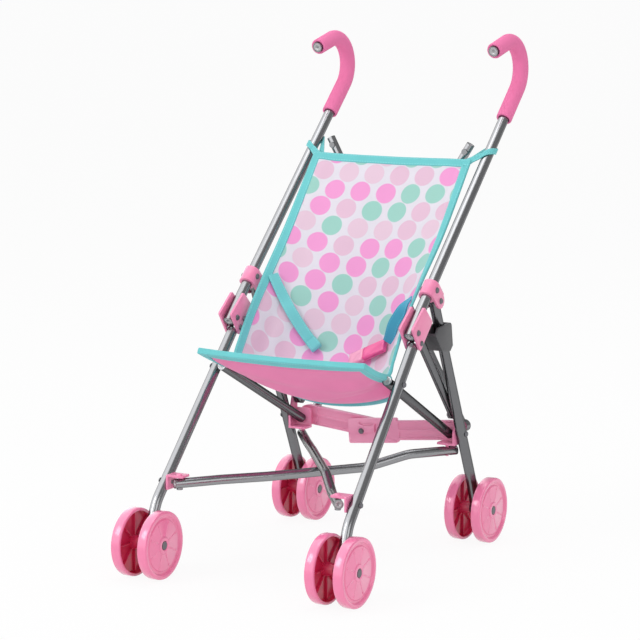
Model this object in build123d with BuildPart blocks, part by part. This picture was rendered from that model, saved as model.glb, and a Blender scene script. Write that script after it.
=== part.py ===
"""Doll stroller: a folding frame of steel tubes with a cloth sling seat, on eight plastic wheels.

Frame: millimetres, +Z up, the floor at Z = 0, the front towards -Y, the middle plane at X = 0.
Pieces are modelled on the right side (+X) and mirrored to the left.
"""
import os
from math import atan2, cos, degrees, hypot, pi, radians, sin

from build123d import *

os.makedirs("parts", exist_ok=True)

# Tubes
TUBE_D = 11.0  # push tubes and legs
TUBE_WALL = 1.0
SEAT_BAR_D = 10.0
LINK_D = 9.0
LOWER_BRACE_D = 10.0
BACK_BRACE_D = 9.0

# Clearances
FIT = 0.05  # between pieces that are fastened together, per side
RUN = 0.06  # a pin in a bore that turns, per side
GAP = 0.4  # between flat faces that pass each other
EYE_INSET = 0.2  # the solid end of a tube, inside the tube's own surface
BORE_LENGTH = 60.0  # of a drilled hole, longer than any piece that it passes
BALL_GAP = 0.3  # a ball-waisted pin in its loose bore, per side

# Side view of the push tube: its axis starts at the foot and rises to the rear
HALF_WIDTH = 107.0
FOOT_Y, FOOT_Z = -37.6, 242.5
PUSH_SLOPE = 43.8  # degrees above the floor
PUSH_RUN = 342.0  # straight length from the foot to the hook
HOOK_R = 30.0
HOOK_TURN = 151.0  # degrees
HOOK_TIP = 32.0  # straight end of the hook

# Grip
GRIP_D = 17.0
GRIP_START = 298.0  # from the foot, along the tube
GRIP_TIP_SHOW = 2.5  # bare tube at the tip
GRIP_END_R = 3.0
GRIP_END_SHARE = 0.7  # of the foam's thickness, the most that its end is rounded

# Collar and the rear leg's pivot, measured along the push tube and down from its axis
COLLAR_START, COLLAR_END = 52.0, 69.5
COLLAR_D = 17.0
EAR_T = 2.5
COLLAR_RIVET_AT = 62.0
REAR_PIVOT_AT, REAR_PIVOT_DROP = 60.0, 15.0
EAR_R = 8.0

# Lower bracket and the front leg's pivot, measured the same way
BRACKET_OUTLINE = [(1, 11.5), (33, 8.5), (34, -16.5), (-4, -17.5)]  # up the tube, and above its axis
BRACKET_T = 2.5
BRACKET_CORNER_R = 2.0
BRACKET_WEB_AT, BRACKET_WEB_L = 20.0, 10.5
FOOT_RIVET_AT = 6.0
FRONT_PIVOT_AT, FRONT_PIVOT_DROP = 3.0, 13.0

# Wheels
WHEEL_D = 70.0
WHEEL_W = 11.0
WHEEL_PITCH = 31.6  # between the two wheels of a pair
WHEEL_RIM_T = 3.2
WHEEL_WEB_T = 2.4
WHEEL_STEP_D = 54.0
WHEEL_HUB_D = 15.0
WHEEL_BOSS_D = 10.0  # the hub's inner end, beside the leg
WHEEL_RIBS = 8
WHEEL_RIB_T = 1.6
AXLE_D = 5.0
AXLE_CAP_D = 8.4
AXLE_CAP_T = 1.4

# Front leg
FRONT_SLOPE = 47.9  # degrees below the floor line, towards the front
FRONT_BEND_AT = 215.0  # along the leg, from its pivot
FRONT_HUB_OUT = 5.0  # outward of the push tube
FRONT_HUB_Y = -187.5
FRONT_BEND_SHARE = 0.83  # of the leg's outward lean, reached at the bend
LEG_BEND_R = 40.0
SEAT_RIVET_AT = 50.4
BRACE_RIVET_AT = 191.2

# Rear leg
REAR_SLOPE = 23.9  # degrees from upright, towards the rear
REAR_BEND_AT = 227.0
REAR_HUB_Y = 119.0

# Rivets
RIVET_D = 4.0
RIVET_HEAD_D = 6.4
RIVET_HEAD_T = 1.5
RIVET_TAPER = 30  # degrees, of the head

# Rear bracket, in the row of planes that hold the seat bar, the lock bar and the braces
REAR_RIVET_Z = 123.0
PLATE_T = 2.4
REAR_PLATE_Z = 109.8  # underside of the bottom plate
REAR_WALL_TOP = 131.0
REAR_PLATE_IN = 26.0  # its inner edge, inward of the push tube
REAR_PLATE_FRONT = 77.0
REAR_WALL_Y = 90.2  # front face of the pivot wall
LOCK_PIN_IN, LOCK_PIN_Z = 17.0, 123.0
LOCK_PIN_D = 6.0

# Seat bar
SEAT_BAR_FRONT_IN, SEAT_BAR_REAR_IN = 10.0, 16.0  # inward of the push tube
SEAT_BAR_REAR_Y, SEAT_BAR_REAR_Z = 87.5, 120.0
SEAT_BAR_JUT = 7.0  # past its rivet, in front of the leg

# Side link
LINK_TOP_AT, LINK_TOP_DROP = 14.2, 12.5  # up the push tube and down from its axis
LINK_TOP_IN, LINK_REAR_IN = 0.8, 13.2  # inward of the push tube
LINK_REAR_Y, LINK_REAR_Z = 88.0, 141.0

# Lower braces
LOWER_REAR_IN, LOWER_REAR_Y, LOWER_REAR_Z = 18.5, 86.0, 102.0
LOWER_FRONT_IN, LOWER_FRONT_Y = 15.0, -157.0
LOWER_REAR_END = 11.0  # past the rear pin
LOWER_FRONT_END = 5.5  # past the front rivet
LOWER_CROSS = 5.6  # each bar's height from the middle plane where they cross
LOWER_END_RUN = 45.0
LOWER_SLOPE_RUN = 50.0
LOWER_BEND_R = 60.0
LOWER_BALL_D = 6.0
LOWER_PIN_D = 3.6
LOWER_HEADROOM = 1.2  # under the front bracket's flange

# Back braces
BACK_TOP_IN, BACK_TOP_Y, BACK_TOP_Z = 19.0, 142.4, 424.0
BACK_LAYER = 10.5  # between the two bars
BACK_EYE_D = 13.0
BACK_BALL_D = 6.0
BACK_RIVET_FROM_TOP = 9.0

# Lock bar
LOCK_T = 5.5
LOCK_H = 21.0
LOCK_END_D = 20.0
LOCK_BODY_H = 27.0
LOCK_BODY_LEFT, LOCK_BODY_RIGHT = -36.0, 24.0
LOCK_TONGUE_END = 16.0
LOCK_POCKET_DEPTH = 1.2
LOCK_RIB_T = 2.2
LOCK_RIVET_X, LOCK_RIVET_Z = 2.0, 114.0
LATCH_T = 2.2
LATCH_PIVOT_X, LATCH_PIVOT_Z = -18.0, 112.0
LATCH_LENGTH = 20.0
LATCH_H = 9.0

# Front bracket
FRONT_PLATE_T = 2.2
FRONT_FLANGE_L = 19.0  # across, from the leg
FRONT_FLANGE_W = 17.0  # fore and aft
FRONT_PLATE_BELOW = 7.0

# Fold catch on the right rear leg: its outline as (down the leg from its pivot, in front of its axis)
CATCH_OUTLINE = [(24, 14), (29, 0), (33, -11.5), (36, -12.5), (57.5, -6.5), (60, 1), (50.5, 16.5), (28, 23)]
CATCH_T = 2.4
CATCH_FLOOR = [(50.5, 16.5), (28, 23), (27, 20.5), (49, 14)]
CATCH_BACK = [(33, -11.5), (36, -12.5), (57.5, -6.5), (57, -6), (38, -6)]

# Cloth: each station is the edge's y and z, its distance inward of the push tube, and the sag in y and z
CLOTH_T = 2.0
BACK_STATIONS = [
    (124.6, 408, 12, 1, -1.2),
    (63, 337, 12, 14, -16),
    (15, 289.5, 13.5, 30, -33),
    (-20, 252, 14.5, 42, -45),
]
FRONT_STATIONS = [  # the front panel hangs under these
    (-43, 219, 14, 33, -51),
    (-54, 205, 13, 12, -35),
    (-82, 211, 11.5, 6, -23),
    (-112, 224, 10, 1, -2),
]
SEAT_STATIONS = BACK_STATIONS + FRONT_STATIONS
STRAP_T = 1.6
STRAP_W = 12.0
STRAP_CUT = 0.6  # a strap ends this far from what it is sewn to
CORNER_STRAP_AT = 246.0
CORNER_TAIL_W = 9.0
STRAP_LIFT = 1.0  # a harness strap's middle line, clear of the sling
HARNESS_LEFT = (2.0, -0.9), (3.0, -0.28)  # first and last place: stations from the top, share across
HARNESS_RIGHT = (2.33, 0.93), (2.92, 0.55)
HARNESS_PIECES = 6
BUCKLE_FROM, BUCKLE_TO = (3.0, 0.53), (3.2, 0.12)
BUCKLE_LIFT = 0.9
BUCKLE_W, BUCKLE_T = 15.0, 6.0
SOCKET_SHARE = 0.6  # of the buckle's length
BUCKLE_R = 2.0

# Shared geometry
TUBE_R = TUBE_D / 2
UP_TUBE = Vector(0, cos(radians(PUSH_SLOPE)), sin(radians(PUSH_SLOPE)))
OFF_TUBE = Vector(0, sin(radians(PUSH_SLOPE)), -cos(radians(PUSH_SLOPE)))
FOOT = Vector(HALF_WIDTH, FOOT_Y, FOOT_Z)
WHEEL_R = WHEEL_D / 2
SIDE = Vector(1, 0, 0)


def on_push_tube(along, drop=0.0, out=0.0):
    """A point of the right push tube's own plane."""
    return FOOT + UP_TUBE * along + OFF_TUBE * drop + SIDE * out


FRONT_PIVOT = on_push_tube(FRONT_PIVOT_AT, FRONT_PIVOT_DROP)
REAR_PIVOT = on_push_tube(REAR_PIVOT_AT, REAR_PIVOT_DROP)
FRONT_HUB = Vector(HALF_WIDTH + FRONT_HUB_OUT, FRONT_HUB_Y, WHEEL_R)
REAR_HUB = Vector(HALF_WIDTH, REAR_HUB_Y, WHEEL_R)
FRONT_FALL = Vector(0, -cos(radians(FRONT_SLOPE)), -sin(radians(FRONT_SLOPE)))
REAR_FALL = Vector(0, sin(radians(REAR_SLOPE)), -cos(radians(REAR_SLOPE)))
FRONT_BEND_OUT = FRONT_HUB_OUT * FRONT_BEND_SHARE
FRONT_FLARE = FRONT_BEND_OUT / FRONT_BEND_AT
FRONT_BEND = FRONT_PIVOT + FRONT_FALL * FRONT_BEND_AT + SIDE * FRONT_BEND_OUT
REAR_BEND = REAR_PIVOT + REAR_FALL * REAR_BEND_AT


def on_front_leg(along):
    """A point of the right front leg's axis, above its bend."""
    return FRONT_PIVOT + FRONT_FALL * along + SIDE * (FRONT_FLARE * along)


SEAT_RIVET = on_front_leg(SEAT_RIVET_AT)
BRACE_RIVET = on_front_leg(BRACE_RIVET_AT)
REAR_RIVET = REAR_PIVOT + REAR_FALL * ((REAR_PIVOT.Z - REAR_RIVET_Z) / -REAR_FALL.Z)
LOWER_FRONT_Z = BRACE_RIVET.Z
REAR_PLATE_INNER = HALF_WIDTH - REAR_PLATE_IN
LOCK_PIN_X = HALF_WIDTH - LOCK_PIN_IN
LOWER_REAR_X = HALF_WIDTH - LOWER_REAR_IN
LOWER_FRONT_X = HALF_WIDTH - LOWER_FRONT_IN
BACK_TOP_X = HALF_WIDTH - BACK_TOP_IN
SEAT_BAR_FRONT_X = HALF_WIDTH - SEAT_BAR_FRONT_IN
SEAT_BAR_REAR = Vector(HALF_WIDTH - SEAT_BAR_REAR_IN, SEAT_BAR_REAR_Y, SEAT_BAR_REAR_Z)
SEAT_BAR_PIVOT = Vector(SEAT_BAR_FRONT_X, SEAT_RIVET.Y, SEAT_RIVET.Z)
LINK_TOP = on_push_tube(LINK_TOP_AT, LINK_TOP_DROP, -LINK_TOP_IN)
LINK_REAR = Vector(HALF_WIDTH - LINK_REAR_IN, LINK_REAR_Y, LINK_REAR_Z)

# Rows of the lock bar and the back braces, front to rear
WALL_BACK = REAR_WALL_Y + PLATE_T
LOCK_FRONT_ROW = WALL_BACK + GAP
LOCK_REAR_ROW = LOCK_FRONT_ROW + LOCK_T + GAP
BACK_FRONT_ROW = LOCK_REAR_ROW + LOCK_T + GAP + BACK_EYE_D / 2
BACK_REAR_ROW = BACK_FRONT_ROW + BACK_LAYER


def write(part, name):
    """Labels one finished piece and writes its file."""
    part.label = name
    export_step(part, f"parts/{name}.step")


def write_pair(part, name):
    """Writes the right piece and its mirror image on the left."""
    write(part, f"right_{name}")
    write(mirror(part, about=Plane.YZ), f"left_{name}")


def across(point, x):
    """The same point of the side view, at another x."""
    return Vector(x, point.Y, point.Z)


def side_plane(x, origin=Vector(0, 0, 0)):
    """A sketch plane at x, with its own x along Y and its own y along Z."""
    return Plane(origin=(x, origin.Y, origin.Z), x_dir=(0, 1, 0), z_dir=(1, 0, 0))


def push_plane(x):
    """A sketch plane at x whose own x runs up the push tube and whose own y points off it, upwards."""
    return Plane(origin=across(FOOT, x), x_dir=UP_TUBE, z_dir=(1, 0, 0))


def bore_across(point, diameter, length=BORE_LENGTH):
    """Cuts a hole along X through the part that is being built."""
    with Locations(Plane(origin=point, z_dir=SIDE)):
        Cylinder(diameter / 2, length, mode=Mode.SUBTRACT)


def eye_across(point, tube_diameter):
    """Adds the rounded, closed end of a tube, with its axis along X."""
    with Locations(Plane(origin=point, z_dir=SIDE)):
        Cylinder(tube_diameter / 2 - EYE_INSET, tube_diameter - 2 * EYE_INSET)


def ring(diameter, wall):
    """A tube's section, inside a sketch."""
    Circle(diameter / 2)
    Circle(diameter / 2 - wall, mode=Mode.SUBTRACT)


def add_rivet(inner, outer, inner_head=True, outer_head=True):
    """Adds one rivet along X, with a domed head beyond each end that asks for one."""
    with Locations(Plane(origin=(inner + outer) * 0.5, z_dir=SIDE)):
        Cylinder(RIVET_D / 2, (outer - inner).length)
    for end, outward, wanted in ((inner, SIDE * -1, inner_head), (outer, SIDE, outer_head)):
        if wanted:
            with BuildSketch(Plane(origin=end, z_dir=outward)) as head:
                Circle(RIVET_HEAD_D / 2)
            extrude(head.sketch, amount=RIVET_HEAD_T, taper=RIVET_TAPER)


# Push tube: straight from its foot, then the hook that the hand holds
with BuildLine(side_plane(HALF_WIDTH)) as push_path:
    push_straight = Line(on_push_tube(0), on_push_tube(PUSH_RUN))
    push_hook = JernArc(push_straight @ 1, push_straight % 1, HOOK_R, HOOK_TURN)
    Line(push_hook @ 1, push_hook @ 1 + (push_hook % 1) * HOOK_TIP)
with BuildPart() as push_tube:
    with BuildSketch(Plane(origin=on_push_tube(0), z_dir=UP_TUBE)):
        ring(TUBE_D, TUBE_WALL)
    sweep(path=push_path.line)
    for along in (FOOT_RIVET_AT, COLLAR_RIVET_AT):
        bore_across(on_push_tube(along), RIVET_D + 2 * FIT)
write_pair(push_tube.part, "push_tube")

# Grip: a foam sleeve on the hook
with BuildLine(side_plane(HALF_WIDTH)) as grip_path:
    grip_straight = Line(on_push_tube(GRIP_START), on_push_tube(PUSH_RUN))
    grip_hook = JernArc(grip_straight @ 1, grip_straight % 1, HOOK_R, HOOK_TURN)
    Line(grip_hook @ 1, grip_hook @ 1 + (grip_hook % 1) * (HOOK_TIP - GRIP_TIP_SHOW))
with BuildPart() as grip:
    with BuildSketch(Plane(origin=on_push_tube(GRIP_START), z_dir=UP_TUBE)):
        ring(GRIP_D, (GRIP_D - TUBE_D) / 2 - FIT)
    sweep(path=grip_path.line)
    grip_rims = grip.edges().filter_by(GeomType.CIRCLE).filter_by(
        lambda edge: abs(edge.radius - GRIP_D / 2) < FIT and abs(edge.length - GRIP_D * pi) < 1
    )
    grip_ends = [edge for edge in grip_rims if (edge.arc_center - grip_path.line @ 0).length < 1]
    grip_ends += [edge for edge in grip_rims if (edge.arc_center - grip_path.line @ 1).length < 1]
    fillet(grip_ends, min(GRIP_END_R, (GRIP_D - TUBE_D) / 2 * GRIP_END_SHARE))
write_pair(grip.part, "grip")

# Collar: a ring on the push tube with two ears for the rear leg
EAR_INNER = TUBE_R + GAP
EAR_OUTER = EAR_INNER + EAR_T
with BuildPart() as collar:
    with BuildSketch(Plane(origin=on_push_tube(COLLAR_START), z_dir=UP_TUBE)):
        Circle(max(COLLAR_D / 2, EAR_OUTER))
        Circle(TUBE_R + FIT, mode=Mode.SUBTRACT)
    extrude(amount=COLLAR_END - COLLAR_START)
    for start in (-EAR_OUTER, EAR_INNER):
        with BuildSketch(push_plane(HALF_WIDTH + start)):
            with Locations(((COLLAR_START + COLLAR_END) / 2, -REAR_PIVOT_DROP / 2)):
                Rectangle(COLLAR_END - COLLAR_START, REAR_PIVOT_DROP)
            with Locations((REAR_PIVOT_AT, -REAR_PIVOT_DROP)):
                Circle(EAR_R)
        extrude(amount=EAR_T)
    with Locations(Plane(origin=on_push_tube(COLLAR_START), z_dir=UP_TUBE)):
        Cylinder(TUBE_R + FIT, 3 * (COLLAR_END - COLLAR_START), mode=Mode.SUBTRACT)
    bore_across(on_push_tube(COLLAR_RIVET_AT), RIVET_D + 2 * FIT)
    bore_across(REAR_PIVOT, RIVET_D + 2 * FIT)
write_pair(collar.part, "collar")

# Lower bracket: two plates and a web behind the push tube; the leg and link pins end in its outer plate
PIVOT_SEAT = HALF_WIDTH + EAR_INNER + BRACKET_T / 2
with BuildPart() as lower_bracket:
    for start in (-EAR_INNER - BRACKET_T, EAR_INNER):
        with BuildSketch(push_plane(HALF_WIDTH + start)) as plate:
            with BuildLine():
                Polyline(*BRACKET_OUTLINE, close=True)
            make_face()
            fillet(plate.vertices(), BRACKET_CORNER_R)
        extrude(amount=BRACKET_T)
    with BuildSketch(push_plane(HALF_WIDTH - EAR_INNER)):
        with Locations((BRACKET_WEB_AT + BRACKET_WEB_L / 2, -TUBE_R - GAP - BRACKET_T / 2)):
            Rectangle(BRACKET_WEB_L, BRACKET_T)
    extrude(amount=2 * EAR_INNER)
    bore_across(on_push_tube(FOOT_RIVET_AT), RIVET_D + 2 * FIT)
    for pin in (FRONT_PIVOT, LINK_TOP):
        bore_across(across(pin, PIVOT_SEAT - BORE_LENGTH / 2), RIVET_D + 2 * FIT)
write_pair(lower_bracket.part, "lower_bracket")

# Legs: tubes with closed, rounded ends
def leg(top, bend, hub, top_bore):
    """Builds one leg from its pivot, round its bend, to the axle."""
    with BuildPart() as made:
        with BuildLine() as path:
            FilletPolyline(top, bend, hub, radius=LEG_BEND_R)
        with BuildSketch(Plane(origin=top, z_dir=bend - top)):
            ring(TUBE_D, TUBE_WALL)
        sweep(path=path.line)
        eye_across(top, TUBE_D)
        eye_across(hub, TUBE_D)
        bore_across(top, top_bore)
        bore_across(hub, AXLE_D + 2 * FIT)
    return made.part


with BuildPart() as front_leg:
    add(leg(FRONT_PIVOT, FRONT_BEND, FRONT_HUB, RIVET_D + 2 * RUN))
    for point in (SEAT_RIVET, BRACE_RIVET):
        bore_across(point, RIVET_D + 2 * FIT)
write_pair(front_leg.part, "front_leg")

with BuildPart() as rear_leg:
    add(leg(REAR_PIVOT, REAR_BEND, REAR_HUB, RIVET_D + 2 * FIT))
    bore_across(REAR_RIVET, RIVET_D + 2 * FIT)
write_pair(rear_leg.part, "rear_leg")

# Side link: from the lower bracket to the rear bracket
with BuildPart() as side_link:
    with BuildSketch(Plane(origin=LINK_TOP, z_dir=LINK_REAR - LINK_TOP)):
        ring(LINK_D, TUBE_WALL)
    extrude(amount=(LINK_REAR - LINK_TOP).length)
    for point in (LINK_TOP, LINK_REAR):
        eye_across(point, LINK_D)
        bore_across(point, RIVET_D + 2 * FIT)
write_pair(side_link.part, "side_link")

# Seat bar: pinned to the front leg, its rear end lies in the rear bracket
SEAT_BAR_DIR = (SEAT_BAR_PIVOT - SEAT_BAR_REAR).normalized()
with BuildPart() as seat_bar:
    with BuildSketch(Plane(origin=SEAT_BAR_REAR, z_dir=SEAT_BAR_DIR)):
        ring(SEAT_BAR_D, TUBE_WALL)
    extrude(amount=(SEAT_BAR_PIVOT - SEAT_BAR_REAR).length + SEAT_BAR_JUT)
    bore_across(SEAT_BAR_PIVOT, RIVET_D + 2 * RUN)
write_pair(seat_bar.part, "seat_bar")

# Rear bracket: a plate on the leg, a bottom plate, a pivot wall and its two pins
REAR_PLATE_OUTER = HALF_WIDTH - TUBE_R - FIT


def rear_bracket(lock_row, back_row):
    """Builds the right rear bracket; the rows say where its long pin carries the lock bar and a brace."""
    with BuildPart() as made:
        with BuildSketch(Plane.XY.offset(REAR_PLATE_Z)):
            with Locations(((REAR_PLATE_INNER + REAR_PLATE_OUTER) / 2, (REAR_PLATE_FRONT + WALL_BACK) / 2)):
                Rectangle(REAR_PLATE_OUTER - REAR_PLATE_INNER, WALL_BACK - REAR_PLATE_FRONT)
        extrude(amount=PLATE_T)
        with BuildSketch(Plane.XZ.offset(-WALL_BACK)):
            with Locations(((REAR_PLATE_INNER + REAR_PLATE_OUTER) / 2, (REAR_PLATE_Z + REAR_WALL_TOP) / 2)):
                RectangleRounded(
                    REAR_PLATE_OUTER - REAR_PLATE_INNER,
                    REAR_WALL_TOP - REAR_PLATE_Z,
                    BRACKET_CORNER_R,
                )
        extrude(amount=PLATE_T)
        with BuildSketch(side_plane(REAR_PLATE_OUTER - PLATE_T)):
            with BuildLine():
                Polyline(
                    (REAR_PLATE_FRONT, REAR_PLATE_Z),
                    (WALL_BACK, REAR_PLATE_Z),
                    (WALL_BACK, LINK_REAR_Z + LINK_D / 2),
                    (LINK_REAR_Y - LINK_D / 2, LINK_REAR_Z + LINK_D / 2),
                    (REAR_PLATE_FRONT, REAR_RIVET_Z),
                    close=True,
                )
            make_face()
        extrude(amount=PLATE_T)
        for point in (REAR_RIVET, LINK_REAR):
            bore_across(point, RIVET_D + 2 * FIT)
        # the long pin carries the lock bar, then its ball carries the back brace
        pin_end = back_row + BACK_EYE_D / 2 + GAP
        with BuildSketch(Plane(origin=(LOCK_PIN_X, WALL_BACK, LOCK_PIN_Z), z_dir=(0, 1, 0))):
            Circle(LOCK_PIN_D / 2)
        extrude(amount=lock_row + LOCK_T + GAP - WALL_BACK)
        with BuildSketch(Plane(origin=(LOCK_PIN_X, WALL_BACK, LOCK_PIN_Z), z_dir=(0, 1, 0))):
            Circle(RIVET_D / 2)
        extrude(amount=pin_end - WALL_BACK + AXLE_CAP_T)
        with Locations((LOCK_PIN_X, back_row, LOCK_PIN_Z)):
            Sphere(BACK_BALL_D / 2)
        with BuildSketch(Plane(origin=(LOCK_PIN_X, pin_end, LOCK_PIN_Z), z_dir=(0, 1, 0))):
            Circle(AXLE_CAP_D / 2)
        extrude(amount=AXLE_CAP_T)
        # the short pin under the plate carries the lower brace on its ball
        low_end = LOWER_REAR_Z - LOWER_BRACE_D / 2 - GAP
        with BuildSketch(Plane(origin=(LOWER_REAR_X, LOWER_REAR_Y, low_end))):
            Circle(LOWER_PIN_D / 2)
        extrude(amount=REAR_PLATE_Z - low_end)
        with Locations((LOWER_REAR_X, LOWER_REAR_Y, LOWER_REAR_Z)):
            Sphere(LOWER_BALL_D / 2)
    return made.part


write(rear_bracket(LOCK_FRONT_ROW, BACK_REAR_ROW), "right_rear_bracket")
write(mirror(rear_bracket(LOCK_REAR_ROW, BACK_FRONT_ROW), about=Plane.YZ), "left_rear_bracket")

# Front bracket: an angle on the inner side of the front leg, over the end of a lower brace
FRONT_PLATE_OUTER = BRACE_RIVET.X - TUBE_R - GAP
FRONT_FLANGE_Z = LOWER_FRONT_Z + LOWER_BRACE_D / 2 + LOWER_HEADROOM
with BuildPart() as front_bracket:
    with BuildSketch(side_plane(FRONT_PLATE_OUTER - FRONT_PLATE_T)):
        plate_height = FRONT_FLANGE_Z + FRONT_PLATE_T - BRACE_RIVET.Z + FRONT_PLATE_BELOW
        with Locations((BRACE_RIVET.Y, BRACE_RIVET.Z - FRONT_PLATE_BELOW + plate_height / 2)):
            RectangleRounded(FRONT_FLANGE_W, plate_height, BRACKET_CORNER_R * 0.5)
    extrude(amount=FRONT_PLATE_T)
    with BuildSketch(Plane.XY.offset(FRONT_FLANGE_Z)):
        with Locations((FRONT_PLATE_OUTER - FRONT_FLANGE_L / 2, BRACE_RIVET.Y)):
            Rectangle(FRONT_FLANGE_L, FRONT_FLANGE_W - BRACKET_CORNER_R)
    extrude(amount=FRONT_PLATE_T)
    flange_corners = front_bracket.edges().filter_by(Axis.Z).sort_by(Axis.X)[:2]
    fillet(flange_corners, BRACKET_CORNER_R)
    bore_across(BRACE_RIVET, RIVET_D + 2 * RUN)
    with BuildSketch(Plane.XY.offset(FRONT_FLANGE_Z + FRONT_PLATE_T)):
        with Locations((LOWER_FRONT_X, LOWER_FRONT_Y)):
            Circle(RIVET_HEAD_D / 2)
    extrude(amount=RIVET_HEAD_T, taper=RIVET_TAPER)
write_pair(front_bracket.part, "front_bracket")


# Lower braces: bent bars that pass over each other in the middle
def lower_brace(side, cross_z):
    """Builds the bar whose rear pin is on the given side, with its middle at cross_z."""
    rear = Vector(side * LOWER_REAR_X, LOWER_REAR_Y, 0)
    front = Vector(-side * LOWER_FRONT_X, LOWER_FRONT_Y, 0)
    length = (front - rear).length
    forward = (front - rear).normalized()
    middle = length / 2

    def at(along, height):
        return rear + forward * along + Vector(0, 0, height)

    points = (
        at(-LOWER_REAR_END, LOWER_REAR_Z),
        at(LOWER_END_RUN, LOWER_REAR_Z),
        at(LOWER_END_RUN + LOWER_SLOPE_RUN, cross_z),
        at(2 * middle - LOWER_END_RUN - LOWER_SLOPE_RUN, cross_z),
        at(2 * middle - LOWER_END_RUN, LOWER_FRONT_Z),
        at(length + LOWER_FRONT_END, LOWER_FRONT_Z),
    )
    with BuildPart() as made:
        with BuildLine() as path:
            FilletPolyline(*points, radius=LOWER_BEND_R)
        with BuildSketch(Plane(origin=points[0], z_dir=forward)):
            ring(LOWER_BRACE_D, TUBE_WALL)
        sweep(path=path.line)
        with Locations(at(0, LOWER_REAR_Z)):
            Cylinder(LOWER_BALL_D / 2 + BALL_GAP, 2 * LOWER_BRACE_D, mode=Mode.SUBTRACT)
        rivet_z = LOWER_FRONT_Z - LOWER_BRACE_D / 2 + TUBE_WALL
        with BuildSketch(Plane(origin=at(length, rivet_z), z_dir=(0, 0, -1))):
            Circle(RIVET_HEAD_D / 2)
        extrude(amount=RIVET_HEAD_T + TUBE_WALL)
    return made.part


LOWER_MID_Z = (LOWER_REAR_Z + LOWER_FRONT_Z) / 2
write(lower_brace(-1, LOWER_MID_Z + LOWER_CROSS), "lower_brace_from_left")
write(lower_brace(1, LOWER_MID_Z - LOWER_CROSS), "lower_brace_from_right")


# Back braces: straight bars behind the seat, one behind the other
def back_brace(side, row):
    """Builds the bar whose lower eye is on the given side, in its own row."""
    low = Vector(side * LOCK_PIN_X, row, LOCK_PIN_Z)
    shift = row - (BACK_FRONT_ROW + BACK_REAR_ROW) / 2
    top = Vector(-side * BACK_TOP_X, BACK_TOP_Y + shift, BACK_TOP_Z)
    upward = (top - low).normalized()
    with BuildPart() as made:
        with BuildSketch(Plane(origin=low, z_dir=upward)):
            ring(BACK_BRACE_D, TUBE_WALL)
        extrude(amount=(top - low).length)
        with Locations(Plane(origin=low, z_dir=(0, 1, 0))):
            Cylinder(BACK_EYE_D / 2, BACK_BRACE_D)
        with Locations(Plane(origin=low, z_dir=(0, 1, 0))):
            Cylinder(BACK_BALL_D / 2 + BALL_GAP, 3 * BACK_BRACE_D, mode=Mode.SUBTRACT)
        rivet_at = top - upward * BACK_RIVET_FROM_TOP
        rivet_base = rivet_at + Vector(0, -BACK_BRACE_D / 2 + TUBE_WALL, 0)
        with BuildSketch(Plane(origin=rivet_base, z_dir=(0, -1, 0))):
            Circle(RIVET_HEAD_D / 2)
        extrude(amount=RIVET_HEAD_T + TUBE_WALL)
    return made.part


write(back_brace(-1, BACK_FRONT_ROW), "back_brace_from_left")
write(back_brace(1, BACK_REAR_ROW), "back_brace_from_right")


# Lock bar: two flat ribbed halves that overlap, each tilted from its pin down to the middle rivet
def pocket(left, right, low, high):
    """Cuts one shallow recess between ribs into the front face at y = 0 of the row."""
    with BuildSketch(Plane.XZ) as recess:
        with Locations(((left + right) / 2, (low + high) / 2)):
            RectangleRounded(right - left, high - low, LOCK_RIB_T / 2)
    extrude(recess.sketch, amount=-LOCK_POCKET_DEPTH, mode=Mode.SUBTRACT)


LOCK_LOW, LOCK_HIGH = LOCK_PIN_Z - LOCK_H / 2, LOCK_PIN_Z + LOCK_H / 2
LOCK_RIB_MID = LOCK_PIN_Z - LOCK_RIB_T / 2
LOCK_DROP = LOCK_PIN_Z - LOCK_RIVET_Z
LOCK_POCKET_END = LOCK_PIN_X - LOCK_END_D / 2 - LOCK_RIB_T

with BuildPart() as lock_bar_right:
    with BuildSketch(Plane.XZ):
        with Locations(((LOCK_PIN_X + LOCK_BODY_LEFT) / 2, LOCK_PIN_Z)):
            Rectangle(LOCK_PIN_X - LOCK_BODY_LEFT, LOCK_H)
        with Locations((LOCK_PIN_X, LOCK_PIN_Z)):
            Circle(LOCK_END_D / 2)
        with Locations(((LOCK_BODY_LEFT + LOCK_BODY_RIGHT) / 2, LOCK_PIN_Z)):
            RectangleRounded(LOCK_BODY_RIGHT - LOCK_BODY_LEFT, LOCK_BODY_H, LOCK_RIB_T)
    extrude(amount=-LOCK_T)
    pocket(LOCK_BODY_RIGHT + LOCK_RIB_T, LOCK_POCKET_END, LOCK_LOW + LOCK_RIB_T, LOCK_RIB_MID)
    pocket(LOCK_BODY_RIGHT + LOCK_RIB_T, LOCK_POCKET_END, LOCK_RIB_MID + LOCK_RIB_T, LOCK_HIGH - LOCK_RIB_T)
    with Locations(Plane(origin=(LOCK_PIN_X, 0, LOCK_PIN_Z), z_dir=(0, 1, 0))):
        Cylinder(LOCK_PIN_D / 2 + RUN, 4 * LOCK_T, mode=Mode.SUBTRACT)
    rivet_reach = hypot(LOCK_PIN_X - LOCK_RIVET_X, LOCK_DROP)
    with BuildSketch(Plane(origin=(LOCK_PIN_X - rivet_reach, 0, LOCK_PIN_Z), z_dir=(0, -1, 0))):
        Circle(RIVET_HEAD_D / 2)
    extrude(amount=RIVET_HEAD_T, taper=RIVET_TAPER)
right_tilt = -degrees(atan2(LOCK_DROP, LOCK_PIN_X - LOCK_RIVET_X))
right_half = lock_bar_right.part.rotate(Axis((LOCK_PIN_X, 0, LOCK_PIN_Z), (0, 1, 0)), right_tilt)
write(right_half.moved(Location((0, LOCK_FRONT_ROW, 0))), "lock_bar_right")

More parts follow.
